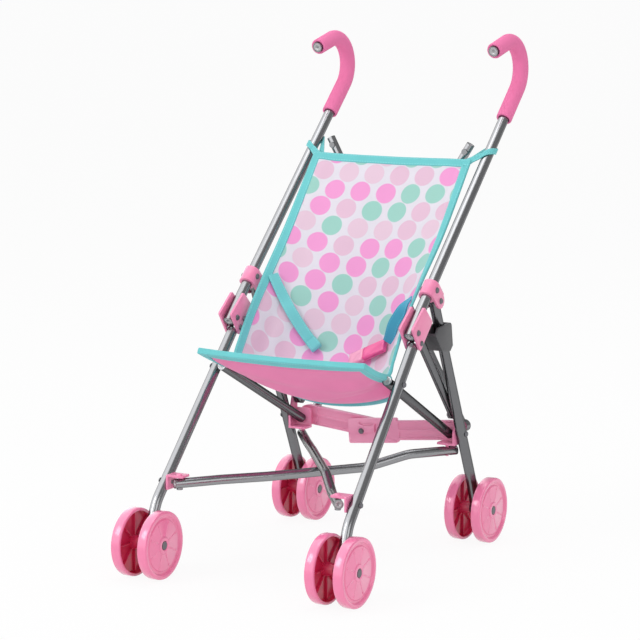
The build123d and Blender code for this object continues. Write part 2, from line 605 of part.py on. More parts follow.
with BuildPart() as lock_bar_left:
    with BuildSketch(Plane.XZ):
        with Locations(((LOCK_TONGUE_END - LOCK_PIN_X) / 2, LOCK_PIN_Z)):
            Rectangle(LOCK_TONGUE_END + LOCK_PIN_X, LOCK_H)
        with Locations((-LOCK_PIN_X, LOCK_PIN_Z)):
            Circle(LOCK_END_D / 2)
    extrude(amount=-LOCK_T)
    pocket(-LOCK_POCKET_END, LOCK_BODY_LEFT - LOCK_RIB_T, LOCK_LOW + LOCK_RIB_T, LOCK_RIB_MID)
    pocket(-LOCK_POCKET_END, LOCK_BODY_LEFT - LOCK_RIB_T, LOCK_RIB_MID + LOCK_RIB_T, LOCK_HIGH - LOCK_RIB_T)
    with Locations(Plane(origin=(-LOCK_PIN_X, 0, LOCK_PIN_Z), z_dir=(0, 1, 0))):
        Cylinder(LOCK_PIN_D / 2 + RUN, 4 * LOCK_T, mode=Mode.SUBTRACT)
left_tilt = degrees(atan2(LOCK_DROP, LOCK_PIN_X + LOCK_RIVET_X))
left_half = lock_bar_left.part.rotate(Axis((-LOCK_PIN_X, 0, LOCK_PIN_Z), (0, 1, 0)), left_tilt)
write(left_half.moved(Location((0, LOCK_REAR_ROW, 0))), "lock_bar_left")

# Latch lever on the front face of the lock bar's middle
with BuildPart() as lock_latch:
    with BuildSketch(Plane.XZ):
        with BuildLine():
            latch_left = LATCH_PIVOT_X - LATCH_H / 2
            latch_right = latch_left + LATCH_LENGTH
            latch_top = LATCH_PIVOT_Z + LATCH_H
            latch_low = LATCH_PIVOT_Z - LATCH_H / 3
            Polyline(
                (latch_left, latch_top),
                (latch_left, latch_low),
                (latch_right, latch_low + LATCH_H / 3),
                (latch_right, latch_top),
            )
            ThreePointArc(
                (latch_right, latch_top),
                ((latch_left + latch_right) / 2, latch_top - LATCH_H / 3),
                (latch_left, latch_top),
            )
        make_face()
        with Locations((LATCH_PIVOT_X, LATCH_PIVOT_Z)):
            Circle(RIVET_D / 2 + RUN, mode=Mode.SUBTRACT)
    extrude(amount=LATCH_T)
write(lock_latch.part.moved(Location((0, LOCK_FRONT_ROW - GAP, 0))), "lock_latch")

# Rivet that the latch turns on, fixed in the lock bar
with BuildPart() as latch_rivet:
    with BuildSketch(Plane(origin=(LATCH_PIVOT_X, LOCK_FRONT_ROW, LATCH_PIVOT_Z), z_dir=(0, -1, 0))):
        Circle(RIVET_D / 2)
    extrude(amount=2 * GAP + LATCH_T)
    with BuildSketch(
        Plane(origin=(LATCH_PIVOT_X, LOCK_FRONT_ROW - 2 * GAP - LATCH_T, LATCH_PIVOT_Z), z_dir=(0, -1, 0))
    ):
        Circle(RIVET_HEAD_D / 2)
    extrude(amount=RIVET_HEAD_T, taper=RIVET_TAPER)
write(latch_rivet.part, "latch_rivet")

# Rivets of the side frame
BRACKET_OUT = EAR_INNER + BRACKET_T
with BuildPart() as frame_rivets:
    add_rivet(on_push_tube(FOOT_RIVET_AT, out=-BRACKET_OUT), on_push_tube(FOOT_RIVET_AT, out=BRACKET_OUT))
    for pin in (FRONT_PIVOT, LINK_TOP):
        add_rivet(across(pin, HALF_WIDTH - BRACKET_OUT), across(pin, PIVOT_SEAT - FIT), outer_head=False)
    collar_out = max(COLLAR_D / 2, EAR_OUTER)
    add_rivet(on_push_tube(COLLAR_RIVET_AT, out=-collar_out), on_push_tube(COLLAR_RIVET_AT, out=collar_out))
    add_rivet(across(REAR_PIVOT, HALF_WIDTH - EAR_OUTER), across(REAR_PIVOT, HALF_WIDTH + EAR_OUTER))
    add_rivet(across(REAR_RIVET, REAR_PLATE_OUTER - PLATE_T), across(REAR_RIVET, HALF_WIDTH + TUBE_R))
    link_in = LINK_REAR.X - LINK_D / 2
    add_rivet(across(LINK_REAR, link_in), across(LINK_REAR, REAR_PLATE_OUTER), outer_head=False)
write_pair(frame_rivets.part, "frame_rivets")

# Rivets of the front leg, which leans outward
LEAN_ROOM = FRONT_FLARE * RIVET_HEAD_D / 2 + FIT
with BuildPart() as leg_rivets:
    add_rivet(
        across(SEAT_RIVET, SEAT_BAR_FRONT_X - SEAT_BAR_D / 2),
        across(SEAT_RIVET, SEAT_RIVET.X + TUBE_R + LEAN_ROOM),
        inner_head=False,
    )
    add_rivet(
        across(BRACE_RIVET, FRONT_PLATE_OUTER - FRONT_PLATE_T),
        across(BRACE_RIVET, BRACE_RIVET.X + TUBE_R + LEAN_ROOM),
        inner_head=False,
    )
write_pair(leg_rivets.part, "leg_rivets")

# Wheel: a rim, a dished face with a step, a hub and ribs on the open inner side
WHEEL_HALF = WHEEL_W / 2
WHEEL_CHAMFER = 1.4
WHEEL_DISH = 2.3  # the face lies this far inside the rim
WHEEL_STEP = 1.2
WHEEL_BORE_R = AXLE_D / 2 + RUN
WHEEL_INNER_R = WHEEL_R - WHEEL_RIM_T
WHEEL_FACE = WHEEL_HALF - WHEEL_DISH
WHEEL_BACK = WHEEL_FACE - WHEEL_WEB_T
WHEEL_BOSS = WHEEL_PITCH / 2 - TUBE_R - GAP  # from the wheel's middle to the boss's inner end
CAP_SEAT = WHEEL_HALF - AXLE_CAP_T - GAP
with BuildPart() as wheel:
    with BuildSketch(Plane.XZ):
        with BuildLine():
            Polyline(
                (WHEEL_BORE_R, -WHEEL_BOSS),
                (WHEEL_BOSS_D / 2, -WHEEL_BOSS),
                (WHEEL_HUB_D / 2, WHEEL_BACK),
                (WHEEL_INNER_R, WHEEL_BACK),
                (WHEEL_INNER_R, -WHEEL_HALF),
                (WHEEL_R - WHEEL_CHAMFER, -WHEEL_HALF),
                (WHEEL_R, -WHEEL_HALF + WHEEL_CHAMFER),
                (WHEEL_R, WHEEL_HALF - WHEEL_CHAMFER),
                (WHEEL_R - WHEEL_CHAMFER, WHEEL_HALF),
                (WHEEL_INNER_R - WHEEL_CHAMFER, WHEEL_HALF),
                (WHEEL_INNER_R - WHEEL_CHAMFER - WHEEL_DISH, WHEEL_FACE),
                (WHEEL_STEP_D / 2, WHEEL_FACE),
                (WHEEL_STEP_D / 2 - WHEEL_STEP, WHEEL_FACE + WHEEL_STEP),
                (WHEEL_HUB_D / 2 + WHEEL_STEP, WHEEL_FACE + WHEEL_STEP),
                (WHEEL_HUB_D / 2, WHEEL_HALF),
                (AXLE_CAP_D / 2 + GAP, WHEEL_HALF),
                (AXLE_CAP_D / 2 + GAP, CAP_SEAT),
                (WHEEL_BORE_R, CAP_SEAT),
                close=True,
            )
        make_face()
    revolve(axis=Axis.Z)
    rib_length = WHEEL_INNER_R - WHEEL_BOSS_D / 2
    rib_depth = WHEEL_BACK + WHEEL_HALF / 2
    with Locations((0, 0, WHEEL_BACK - rib_depth / 2)):
        with PolarLocations(WHEEL_BOSS_D / 2 + rib_length / 2, WHEEL_RIBS):
            Box(rib_length, WHEEL_RIB_T, rib_depth)
    Cylinder(WHEEL_BORE_R, 4 * WHEEL_W, mode=Mode.SUBTRACT)
for hub, end in ((FRONT_HUB, "front"), (REAR_HUB, "rear")):
    for outward, place in ((1, "outer"), (-1, "inner")):
        centre = hub + SIDE * (outward * WHEEL_PITCH / 2)
        seat = Plane(origin=centre, x_dir=(0, 1, 0), z_dir=SIDE * outward)
        write_pair(wheel.part.moved(seat.location), f"{end}_{place}_wheel")

# Axle: a pin through both wheels and the leg, with a pressed cap at each end
AXLE_HALF = WHEEL_PITCH / 2 + CAP_SEAT + GAP
for hub, end in ((FRONT_HUB, "front"), (REAR_HUB, "rear")):
    with BuildPart() as axle:
        with BuildSketch(Plane(origin=hub - SIDE * AXLE_HALF, z_dir=SIDE)):
            Circle(AXLE_D / 2)
        extrude(amount=2 * AXLE_HALF)
        for outward in (1, -1):
            with BuildSketch(Plane(origin=hub + SIDE * (outward * AXLE_HALF), z_dir=SIDE * outward)):
                Circle(AXLE_CAP_D / 2)
            extrude(amount=AXLE_CAP_T)
    write_pair(axle.part, f"{end}_axle")

# Fold catch: a clip on the right rear leg with a channel open to the front
def catch_plane(x):
    """A sketch plane at x whose own x runs down the rear leg and whose own y points to its front."""
    return Plane(origin=across(REAR_PIVOT, x), x_dir=REAR_FALL, z_dir=SIDE * -1)


CATCH_INNER = TUBE_R + FIT
with BuildPart() as fold_catch:
    for start in (-CATCH_INNER, CATCH_INNER + CATCH_T):
        with BuildSketch(catch_plane(HALF_WIDTH + start)):
            with BuildLine():
                Polyline(*CATCH_OUTLINE, close=True)
            make_face()
        extrude(amount=CATCH_T)
    for outline in (CATCH_FLOOR, CATCH_BACK):
        with BuildSketch(catch_plane(HALF_WIDTH + CATCH_INNER)):
            with BuildLine():
                Polyline(*outline, close=True)
            make_face()
        extrude(amount=2 * CATCH_INNER)
write(fold_catch.part, "fold_catch")


# Cloth: a sling between the side frames, and a panel under its front
def cloth(stations, below):
    """Builds a sheet through arcs, the given depth below the stations' own arcs."""
    with BuildPart() as made:
        for y, z, inset, sag_y, sag_z in stations:
            half_width = HALF_WIDTH - inset
            sag = Vector(0, sag_y, sag_z)
            with BuildSketch(Plane(origin=(0, y, z), x_dir=SIDE, z_dir=SIDE.cross(sag))):
                low, high = below, below - CLOTH_T
                with BuildLine():
                    ThreePointArc((-half_width, low), (0, sag.length + low), (half_width, low))
                    Line((half_width, low), (half_width, high))
                    ThreePointArc((half_width, high), (0, sag.length + high), (-half_width, high))
                    Line((-half_width, high), (-half_width, low))
                make_face()
        loft(ruled=True)
    return made.part


write(cloth(SEAT_STATIONS, 0), "seat_sling")
write(cloth(FRONT_STATIONS, CLOTH_T + GAP), "front_panel")

# Corner strap: a loop round the push tube with a tail to the sling's top corner
STRAP_LOOP_R = TUBE_R + GAP
strap_y, strap_z, strap_inset = SEAT_STATIONS[0][:3]
with BuildPart() as corner_strap:
    with BuildSketch(Plane(origin=on_push_tube(CORNER_STRAP_AT - STRAP_W / 2), z_dir=UP_TUBE)):
        Circle(STRAP_LOOP_R + STRAP_T)
        Circle(STRAP_LOOP_R, mode=Mode.SUBTRACT)
    extrude(amount=STRAP_W)
    tail_in = strap_inset - STRAP_CUT
    tail_along = (Vector(0, strap_y, strap_z) - FOOT).dot(UP_TUBE)
    with BuildSketch(Plane(origin=on_push_tube(0, -STRAP_LOOP_R), x_dir=UP_TUBE, z_dir=OFF_TUBE * -1)):
        with BuildLine():
            Polyline(
                (CORNER_STRAP_AT + CORNER_TAIL_W / 2, 0),
                (CORNER_STRAP_AT - CORNER_TAIL_W / 2, 0),
                (tail_along - CORNER_TAIL_W / 2, tail_in),
                (tail_along + CORNER_TAIL_W / 2, tail_in),
                close=True,
            )
        make_face()
    extrude(amount=STRAP_T)
write_pair(corner_strap.part, "corner_strap")


# Harness: two straps that lie on the sling, and a buckle in two halves
SURFACE_STEP = 0.01  # for the sling's slope at a point


def station_point(station, share):
    """A point of the sling's upper face on one station; the share runs from -1 to 1 across it."""
    y, z, inset, sag_y, sag_z = station
    half_width = HALF_WIDTH - inset
    sag = Vector(0, sag_y, sag_z)
    radius = (half_width**2 + sag.length**2) / (2 * sag.length)
    angle = 2 * atan2(sag.length, half_width) * share
    depth = radius * cos(angle) - radius + sag.length - CLOTH_T
    return Vector(radius * sin(angle), y, z) + sag.normalized() * depth


def on_sling(place, share):
    """A point of the sling's upper face; the place counts its stations from the top."""
    first = min(int(place), len(SEAT_STATIONS) - 2)
    near = station_point(SEAT_STATIONS[first], share)
    far = station_point(SEAT_STATIONS[first + 1], share)
    return near + (far - near) * (place - first)


def off_sling(place, share):
    """The direction out of the sling, towards the sitter."""
    along = on_sling(place + SURFACE_STEP, share) - on_sling(place - SURFACE_STEP, share)
    sideways = on_sling(place, share + SURFACE_STEP) - on_sling(place, share - SURFACE_STEP)
    return along.cross(sideways).normalized()


def between(first, last, part):
    """A place and share on the way from the first to the last."""
    return [a + (b - a) * part for a, b in zip(first, last)]


def harness_strap(first, last):
    """Builds a flat strap that follows the sling."""
    rise = STRAP_LIFT + STRAP_T / 2
    spots = [between(first, last, k / HARNESS_PIECES) for k in range(HARNESS_PIECES + 1)]
    points = [on_sling(*spot) + off_sling(*spot) * rise for spot in spots]
    with BuildPart() as made:
        for k, point in enumerate(points):
            run = points[min(k + 1, HARNESS_PIECES)] - points[max(k - 1, 0)]
            with BuildSketch(Plane(origin=point, x_dir=off_sling(*spots[k]).cross(run), z_dir=run)):
                Rectangle(STRAP_W, STRAP_T)
        loft(ruled=True)
    return made.part


def buckle_half(start, end, up):
    """Builds a rounded bar from start to end, its flat side facing the given way."""
    run = end - start
    with BuildPart() as made:
        with BuildSketch(Plane(origin=start, x_dir=up.cross(run), z_dir=run)):
            RectangleRounded(BUCKLE_W, BUCKLE_T, BUCKLE_R)
        extrude(amount=run.length)
    return made.part


write(harness_strap(*HARNESS_LEFT), "harness_strap_left")
write(harness_strap(*HARNESS_RIGHT), "harness_strap_right")
buckle_up = off_sling(*between(BUCKLE_FROM, BUCKLE_TO, 1 / 2))
buckle_rise = buckle_up * (BUCKLE_LIFT + BUCKLE_T / 2)
buckle_from = on_sling(*BUCKLE_FROM) + buckle_rise
buckle_to = on_sling(*BUCKLE_TO) + buckle_rise
buckle_run = buckle_to - buckle_from
buckle_split = buckle_from + buckle_run * SOCKET_SHARE
buckle_gap = buckle_run.normalized() * GAP
write(buckle_half(buckle_from, buckle_split, buckle_up), "buckle_socket")
write(buckle_half(buckle_split + buckle_gap, buckle_to, buckle_up), "buckle_tongue")
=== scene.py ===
# %% [markdown]
# # A folding doll stroller
# The frame of steel tubes, brackets and wheels was drawn in CAD. This lesson loads that frame, gives its
# metal and plastic their finishes, and makes the soft things that CAD is poor at: the sling seat with its
# binding, the front panel, the straps and the foam grips. One unit is one metre, +Z is up and the front of
# the stroller looks towards -Y.

# %% Load the frame
import math

import bpy
from mathutils import Matrix, Vector


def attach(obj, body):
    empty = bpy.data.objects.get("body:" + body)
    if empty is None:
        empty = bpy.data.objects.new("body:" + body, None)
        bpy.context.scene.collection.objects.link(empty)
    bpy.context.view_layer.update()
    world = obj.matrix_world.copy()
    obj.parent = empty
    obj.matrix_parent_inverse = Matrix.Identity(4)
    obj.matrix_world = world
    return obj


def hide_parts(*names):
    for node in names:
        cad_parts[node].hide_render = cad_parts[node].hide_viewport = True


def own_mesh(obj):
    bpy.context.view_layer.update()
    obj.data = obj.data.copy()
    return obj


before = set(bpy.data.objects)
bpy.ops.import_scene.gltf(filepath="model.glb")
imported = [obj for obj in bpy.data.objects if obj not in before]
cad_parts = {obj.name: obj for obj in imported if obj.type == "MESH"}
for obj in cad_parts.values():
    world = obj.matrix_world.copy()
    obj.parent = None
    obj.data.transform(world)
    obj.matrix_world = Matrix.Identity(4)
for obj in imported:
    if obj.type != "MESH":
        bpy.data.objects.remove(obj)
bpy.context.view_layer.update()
bpy.ops.object.select_all(action="DESELECT")
MM = 0.001

# %% [markdown]
# ## Camera
# A product photo is taken from far away with a long lens, so that parallel tubes stay nearly parallel.
# The camera stands to the right of the front, a little above the seat, and looks at the seat's height.

# %% Camera
CAMERA_LENS = 140.4
CAMERA_TARGET = Vector((0, -31.1, 251.2)) * MM
CAMERA_BACK = Vector((0.4903, -0.8585, 0.1504)).normalized()
CAMERA_DISTANCE = 2.5715
camera_data = bpy.data.cameras.new("photo_camera")
camera_data.lens = CAMERA_LENS
camera_data.sensor_width = 36.0
camera_data.clip_end = 200.0
camera = bpy.data.objects.new("photo_camera", camera_data)
bpy.context.scene.collection.objects.link(camera)
camera.location = CAMERA_TARGET + CAMERA_BACK * CAMERA_DISTANCE
camera.rotation_mode = "QUATERNION"
camera.rotation_quaternion = (-CAMERA_BACK).to_track_quat("-Z", "Y")
bpy.context.scene.camera = camera
print("camera at", [round(v, 3) for v in camera.location])

# %% [markdown]
# ## Light and floor
# Studio light is large and soft: one big panel in front on the left, a weaker one on the right, one above
# and an even sky. Gloss sees the sky bright on the left and dim on the right, which gives the tubes their
# light and dark bands. The floor is pale. For the camera it is mostly its own white, and the rest is lit
# paint, so a soft shadow stays under the wheels.


# %% Helpers for shader nodes
def feed(tree, node, values):
    """Fills a node's inputs; each value is a constant or another node's socket."""
    for label, value in values.items():
        if isinstance(value, bpy.types.NodeSocket):
            tree.links.new(value, node.inputs[label])
        else:
            node.inputs[label].default_value = value
    return node


def put(tree, operation, *values):
    """Adds a Math node and gives its result."""
    node = tree.nodes.new("ShaderNodeMath")
    node.operation = operation
    return feed(tree, node, dict(enumerate(values))).outputs[0]


def seen_by_camera(tree):
    """A value of 1 for rays that show a background: from the camera, off gloss, or through glass."""
    path = tree.nodes.new("ShaderNodeLightPath")
    shown = put(tree, "MAXIMUM", path.outputs["Is Camera Ray"], path.outputs["Is Glossy Ray"])
    return put(tree, "MAXIMUM", shown, path.outputs["Is Transmission Ray"])


def show_mix(tree, share, first, second, output):
    """Mixes two shader nodes by a share and sends the result to the tree's output."""
    mix = tree.nodes.new("ShaderNodeMixShader")
    feed(tree, mix, {0: share, 1: first.outputs[0], 2: second.outputs[0]})
    feed(tree, tree.nodes[output], {"Surface": mix.outputs[0]})


# %% Light and floor
WHITE = (1, 1, 1, 1)
SKY_STRENGTH = 0.62
SKY_LEFT = (-0.868, -0.496, 0.0)  # towards the left of the picture
SKY_FADE = {"From Min": -0.12, "From Max": 0.22, "To Min": 0.35, "To Max": 2.1}  # its side, then its strength
scene = bpy.context.scene
scene.view_settings.view_transform = "Standard"
scene.world = bpy.data.worlds.new("studio")
scene.world.use_nodes = True
sky = scene.world.node_tree
sky_light, sky_shown = sky.nodes["Background"], sky.nodes.new("ShaderNodeBackground")
sky_side = sky.nodes.new("ShaderNodeVectorMath")
sky_side.operation = "DOT_PRODUCT"
feed(sky, sky_side, {0: sky.nodes.new("ShaderNodeTexCoord").outputs["Generated"], 1: SKY_LEFT})
sky_fade = sky.nodes.new("ShaderNodeMapRange")
sky_fade.interpolation_type = "SMOOTHSTEP"
feed(sky, sky_fade, {**SKY_FADE, "Value": sky_side.outputs["Value"]})
off_gloss = sky.nodes.new("ShaderNodeLightPath").outputs["Is Glossy Ray"]
change = put(sky, "SUBTRACT", sky_fade.outputs["Result"], 1.0)
feed(sky, sky_light, {"Color": WHITE, "Strength": SKY_STRENGTH})
feed(sky, sky_shown, {"Color": WHITE, "Strength": put(sky, "MULTIPLY_ADD", off_gloss, change, 1.0)})
show_mix(sky, seen_by_camera(sky), sky_light, sky_shown, "World Output")


def soft_panel(name, place, aim, size, watts):
    """Adds a square light panel at a place, turned towards a point."""
    data = bpy.data.lights.new(name, "AREA")
    data.shape = "SQUARE"
    data.size = size
    data.energy = watts
    lamp = bpy.data.objects.new(name, data)
    scene.collection.objects.link(lamp)
    lamp.location = place
    lamp.rotation_euler = (Vector(aim) - Vector(place)).to_track_quat("-Z", "Y").to_euler()


soft_panel("key_panel", (-1.3, -2.0, 1.7), (0, 0, 0.25), 1.2, 22)
soft_panel("fill_panel", (2.2, -1.2, 0.9), (0, 0, 0.25), 1.4, 9)
soft_panel("top_panel", (0.1, 0.3, 2.4), (0, 0, 0.2), 1.6, 14)

FLOOR_SIZE, FLOOR_WHITE_SHARE = 160, 0.92
FLOOR_COLOR, FLOOR_ROUGHNESS = (0.9, 0.9, 0.9, 1), 0.9
bpy.ops.mesh.primitive_plane_add(size=FLOOR_SIZE)
floor = bpy.context.object
floor.name = "floor"
paint = bpy.data.materials.new("pale_floor")
paint.use_nodes = True
ground = paint.node_tree
lit_paint, own_white = ground.nodes["Principled BSDF"], ground.nodes.new("ShaderNodeEmission")
feed(ground, lit_paint, {"Base Color": FLOOR_COLOR, "Roughness": FLOOR_ROUGHNESS})
white_share = put(ground, "MULTIPLY", seen_by_camera(ground), FLOOR_WHITE_SHARE)
show_mix(ground, white_share, lit_paint, own_white, "Material Output")
floor.data.materials.append(paint)

# %% [markdown]
# ## Shared effects as node groups
# No real surface has one even colour. A group called `uneven_tone` lets a colour drift a little lighter and
# darker over the piece. `fine_grain` gives a small bump, for moulded plastic, satin metal and foam.
# `plain_weave` draws crossing threads, and `stitch_row` a dashed line of sewing thread. Each is built once
# and placed in several materials with its own values.


# %% Helpers for node groups
def new_group(name, inputs, outputs):
    """Starts a shader node group with named sockets and gives its tree and its two ends."""
    tree = bpy.data.node_groups.new(name, "ShaderNodeTree")
    for label, kind, value in inputs:
        socket = tree.interface.new_socket(label, in_out="INPUT", socket_type=kind)
        if value is not None:
            socket.default_value = value
    for label, kind in outputs:
        tree.interface.new_socket(label, in_out="OUTPUT", socket_type=kind)
    return tree, tree.nodes.new("NodeGroupInput"), tree.nodes.new("NodeGroupOutput")


def mix_colors(tree, share, first, second):
    """Mixes two colours by a share."""
    mix = tree.nodes.new("ShaderNodeMix")
    mix.data_type = "RGBA"
    return feed(tree, mix, {0: share, 6: first, 7: second}).outputs[2]  # 6 and 7 are its colours


def noise(tree, where, scale, detail=2.0):
    """Adds a noise texture and gives its value."""
    node = tree.nodes.new("ShaderNodeTexNoise")
    return feed(tree, node, {"Vector": where, "Scale": scale, "Detail": detail}).outputs[0]


def split(tree, vector):
    """Gives the X, Y and Z of a vector."""
    return feed(tree, tree.nodes.new("ShaderNodeSeparateXYZ"), {0: vector}).outputs


FLOAT, VECTOR, COLOR = "NodeSocketFloat", "NodeSocketVector", "NodeSocketColor"

# %% uneven_tone
tone_group, tone_in, tone_out = new_group(
    "uneven_tone",
    [("Color", COLOR, (1, 1, 1, 1)), ("Vector", VECTOR, None), ("Scale", FLOAT, 20.0), ("Amount", FLOAT, 0.1)],
    [("Color", COLOR)],
)
drift = noise(tone_group, tone_in.outputs["Vector"], tone_in.outputs["Scale"], 4.0)
drift = put(tone_group, "SUBTRACT", drift, 0.5)
drift = put(tone_group, "MULTIPLY_ADD", drift, tone_in.outputs["Amount"], 1.0)
tone_hsv = tone_group.nodes.new("ShaderNodeHueSaturation")
feed(tone_group, tone_hsv, {"Value": drift, "Color": tone_in.outputs["Color"]})
feed(tone_group, tone_out, {"Color": tone_hsv.outputs[0]})

# %% fine_grain
PATCH_SCALE = 30.0
grain_group, grain_in, grain_out = new_group(
    "fine_grain",
    [("Vector", VECTOR, None), ("Scale", FLOAT, 900.0), ("Roughness", FLOAT, 0.4), ("Spread", FLOAT, 0.1)],
    [("Height", FLOAT), ("Roughness", FLOAT)],
)
grain = noise(grain_group, grain_in.outputs["Vector"], grain_in.outputs["Scale"], 3.0)
patch = put(grain_group, "SUBTRACT", noise(grain_group, grain_in.outputs["Vector"], PATCH_SCALE), 0.5)
patch = put(grain_group, "MULTIPLY_ADD", patch, grain_in.outputs["Spread"], grain_in.outputs["Roughness"])
feed(grain_group, grain_out, {"Height": grain, "Roughness": patch})

# %% plain_weave
SLUB_SCALE, CROSSING_SHARE = 260.0, 0.25
weave_group, weave_in, weave_out = new_group(
    "plain_weave",
    [("Vector", VECTOR, None), ("Threads", FLOAT, 900.0)],
    [("Height", FLOAT)],
)
weave_xyz = split(weave_group, weave_in.outputs["Vector"])
turns = put(weave_group, "MULTIPLY", weave_in.outputs["Threads"], 2 * math.pi)
warp, weft = (put(weave_group, "SINE", put(weave_group, "MULTIPLY", weave_xyz[axis], turns)) for axis in "XY")
slub = noise(weave_group, weave_in.outputs["Vector"], SLUB_SCALE)
crossing = put(weave_group, "MULTIPLY", warp, weft)
feed(weave_group, weave_out, {"Height": put(weave_group, "MULTIPLY_ADD", crossing, CROSSING_SHARE, slub)})

# %% stitch_row
STITCH_HALF, STITCH_SHARE = 0.45 * MM, 0.7
stitch_group, stitch_in, stitch_out = new_group(
    "stitch_row",
    [("Vector", VECTOR, None), ("Edge", FLOAT, 0.004), ("Pitch", FLOAT, 0.0032)],
    [("Mask", FLOAT)],
)
stitch_xyz = split(stitch_group, stitch_in.outputs["Vector"])
from_middle = put(stitch_group, "ABSOLUTE", stitch_xyz["Y"])
off_row = put(stitch_group, "ABSOLUTE", put(stitch_group, "SUBTRACT", from_middle, stitch_in.outputs["Edge"]))
on_row = put(stitch_group, "LESS_THAN", off_row, STITCH_HALF)
beat = put(stitch_group, "FRACT", put(stitch_group, "DIVIDE", stitch_xyz["X"], stitch_in.outputs["Pitch"]))
dash = put(stitch_group, "LESS_THAN", beat, STITCH_SHARE)
feed(stitch_group, stitch_out, {"Mask": put(stitch_group, "MULTIPLY", on_row, dash)})
print("groups:", [g.name for g in bpy.data.node_groups])

# %% [markdown]
# ## The printed dots
# The seat cloth is printed with round dots in slanted rows. A node group can draw that from the cloth's own
# map, where one unit is one metre of cloth. Each dot sits in a cell of a slanted grid, the distance to the
# cell's middle says where the ink is, and a random number for each cell picks one of four inks.

# %% dot_print
DOT_PITCH, DOT_ROW, DOT_R, DOT_SHIFT = 0.0306, 0.0214, 0.0116, 0.36
DOT_SOFT = 0.0004
dot_group, dot_in, dot_out = new_group(
    "dot_print",
    [("Vector", VECTOR, None), ("Cloth", COLOR, (1, 1, 1, 1))],
    [("Color", COLOR)],
)
dot_xyz = split(dot_group, dot_in.outputs["Vector"])
INKS = [
    (0.0, (0.86, 0.33, 0.64, 1)),
    (0.36, (0.77, 0.56, 0.68, 1)),
    (0.52, (0.33, 0.62, 0.55, 1)),
    (0.76, (0.76, 0.51, 0.65, 1)),
]


def print_rows(first, cloth):
    """Prints every second row of dots, because a dot reaches past the middle between two rows."""
    rows_at = put(dot_group, "MULTIPLY_ADD", dot_xyz["Y"], 0.5 / DOT_ROW, first / 2)
    row = put(dot_group, "MULTIPLY_ADD", put(dot_group, "FLOOR", rows_at), 2, -first)
    column_at = put(dot_group, "DIVIDE", dot_xyz["X"], DOT_PITCH)
    column_at = put(dot_group, "MULTIPLY_ADD", row, DOT_SHIFT, column_at)
    from_middle = []
    for at, size in ((column_at, DOT_PITCH), (rows_at, 2 * DOT_ROW)):
        share = put(dot_group, "SUBTRACT", put(dot_group, "FRACT", at), 0.5)
        from_middle.append(put(dot_group, "POWER", put(dot_group, "MULTIPLY", share, size), 2))
    spread = put(dot_group, "SQRT", put(dot_group, "ADD", *from_middle))
    ink_mask = dot_group.nodes.new("ShaderNodeMapRange")
    feed(dot_group, ink_mask, {"From Min": DOT_R + DOT_SOFT, "From Max": DOT_R - DOT_SOFT, "Value": spread})
    cell = dot_group.nodes.new("ShaderNodeCombineXYZ")
    feed(dot_group, cell, {"X": put(dot_group, "FLOOR", column_at), "Y": row})
    lot = dot_group.nodes.new("ShaderNodeTexWhiteNoise")
    lot.noise_dimensions = "2D"
    feed(dot_group, lot, {"Vector": cell.outputs[0]})
    inks = dot_group.nodes.new("ShaderNodeValToRGB")
    inks.color_ramp.interpolation = "CONSTANT"
    for place, ink in INKS:
        stop = inks.color_ramp.elements.new(place) if place else inks.color_ramp.elements[0]
        stop.color = ink
    inks.color_ramp.elements.remove(inks.color_ramp.elements[-1])
    feed(dot_group, inks, {0: lot.outputs["Value"]})
    return mix_colors(dot_group, ink_mask.outputs[0], cloth, inks.outputs[0])


half_printed = print_rows(0, dot_in.outputs["Cloth"])
feed(dot_group, dot_out, {"Color": print_rows(1, half_printed)})

# %% [markdown]
# ## Finishes
# Hard finishes share one recipe: an uneven colour, a fine grain as a very small bump, and a roughness that
# drifts. Tubes are satin metal, wheels are glossy plastic, brackets a little less glossy, foam is dull.


# %% Hard finishes
TONE_SCALE, ROUGH_SPREAD, COAT_ROUGHNESS, GRAIN_DEPTH = 14.0, 0.12, 0.15, 0.4 * MM


def new_material(name):
    """Starts a material and gives it with its node tree and its shader."""
    material = bpy.data.materials.new(name)
    material.use_nodes = True
    return material, material.node_tree, material.node_tree.nodes["Principled BSDF"]


def place_group(tree, group, **values):
    """Puts a shared group into a material with its own values."""
    node = tree.nodes.new("ShaderNodeGroup")
    node.node_tree = group
    return feed(tree, node, values)


def bump_from(tree, height, strength, distance):
    """Turns a height into a normal."""
    bump = tree.nodes.new("ShaderNodeBump")
    return feed(tree, bump, {"Strength": strength, "Distance": distance, "Height": height}).outputs[0]


def hard_finish(name, color, roughness, metallic=0.0, coat=0.0, tone=0.08, grain=900.0, bump=0.08, edge=1.0):
    """A metal, plastic or foam finish for rigid pieces."""
    material, tree, shader = new_material(name)
    where = tree.nodes.new("ShaderNodeTexCoord").outputs["Object"]
    drifted = place_group(tree, tone_group, Color=(*color, 1), Vector=where, Scale=TONE_SCALE, Amount=tone)
    speck = place_group(tree, grain_group, Vector=where, Scale=grain, Roughness=roughness, Spread=ROUGH_SPREAD)
    feed(tree, shader, {
        "Base Color": drifted.outputs["Color"],
        "Roughness": speck.outputs["Roughness"],
        "Metallic": metallic,
        "Specular Tint": (edge, edge, edge, 1),
        "Coat Weight": coat,
        "Coat Roughness": COAT_ROUGHNESS,
        "Normal": bump_from(tree, speck.outputs["Height"], bump, GRAIN_DEPTH),
    })
    return material


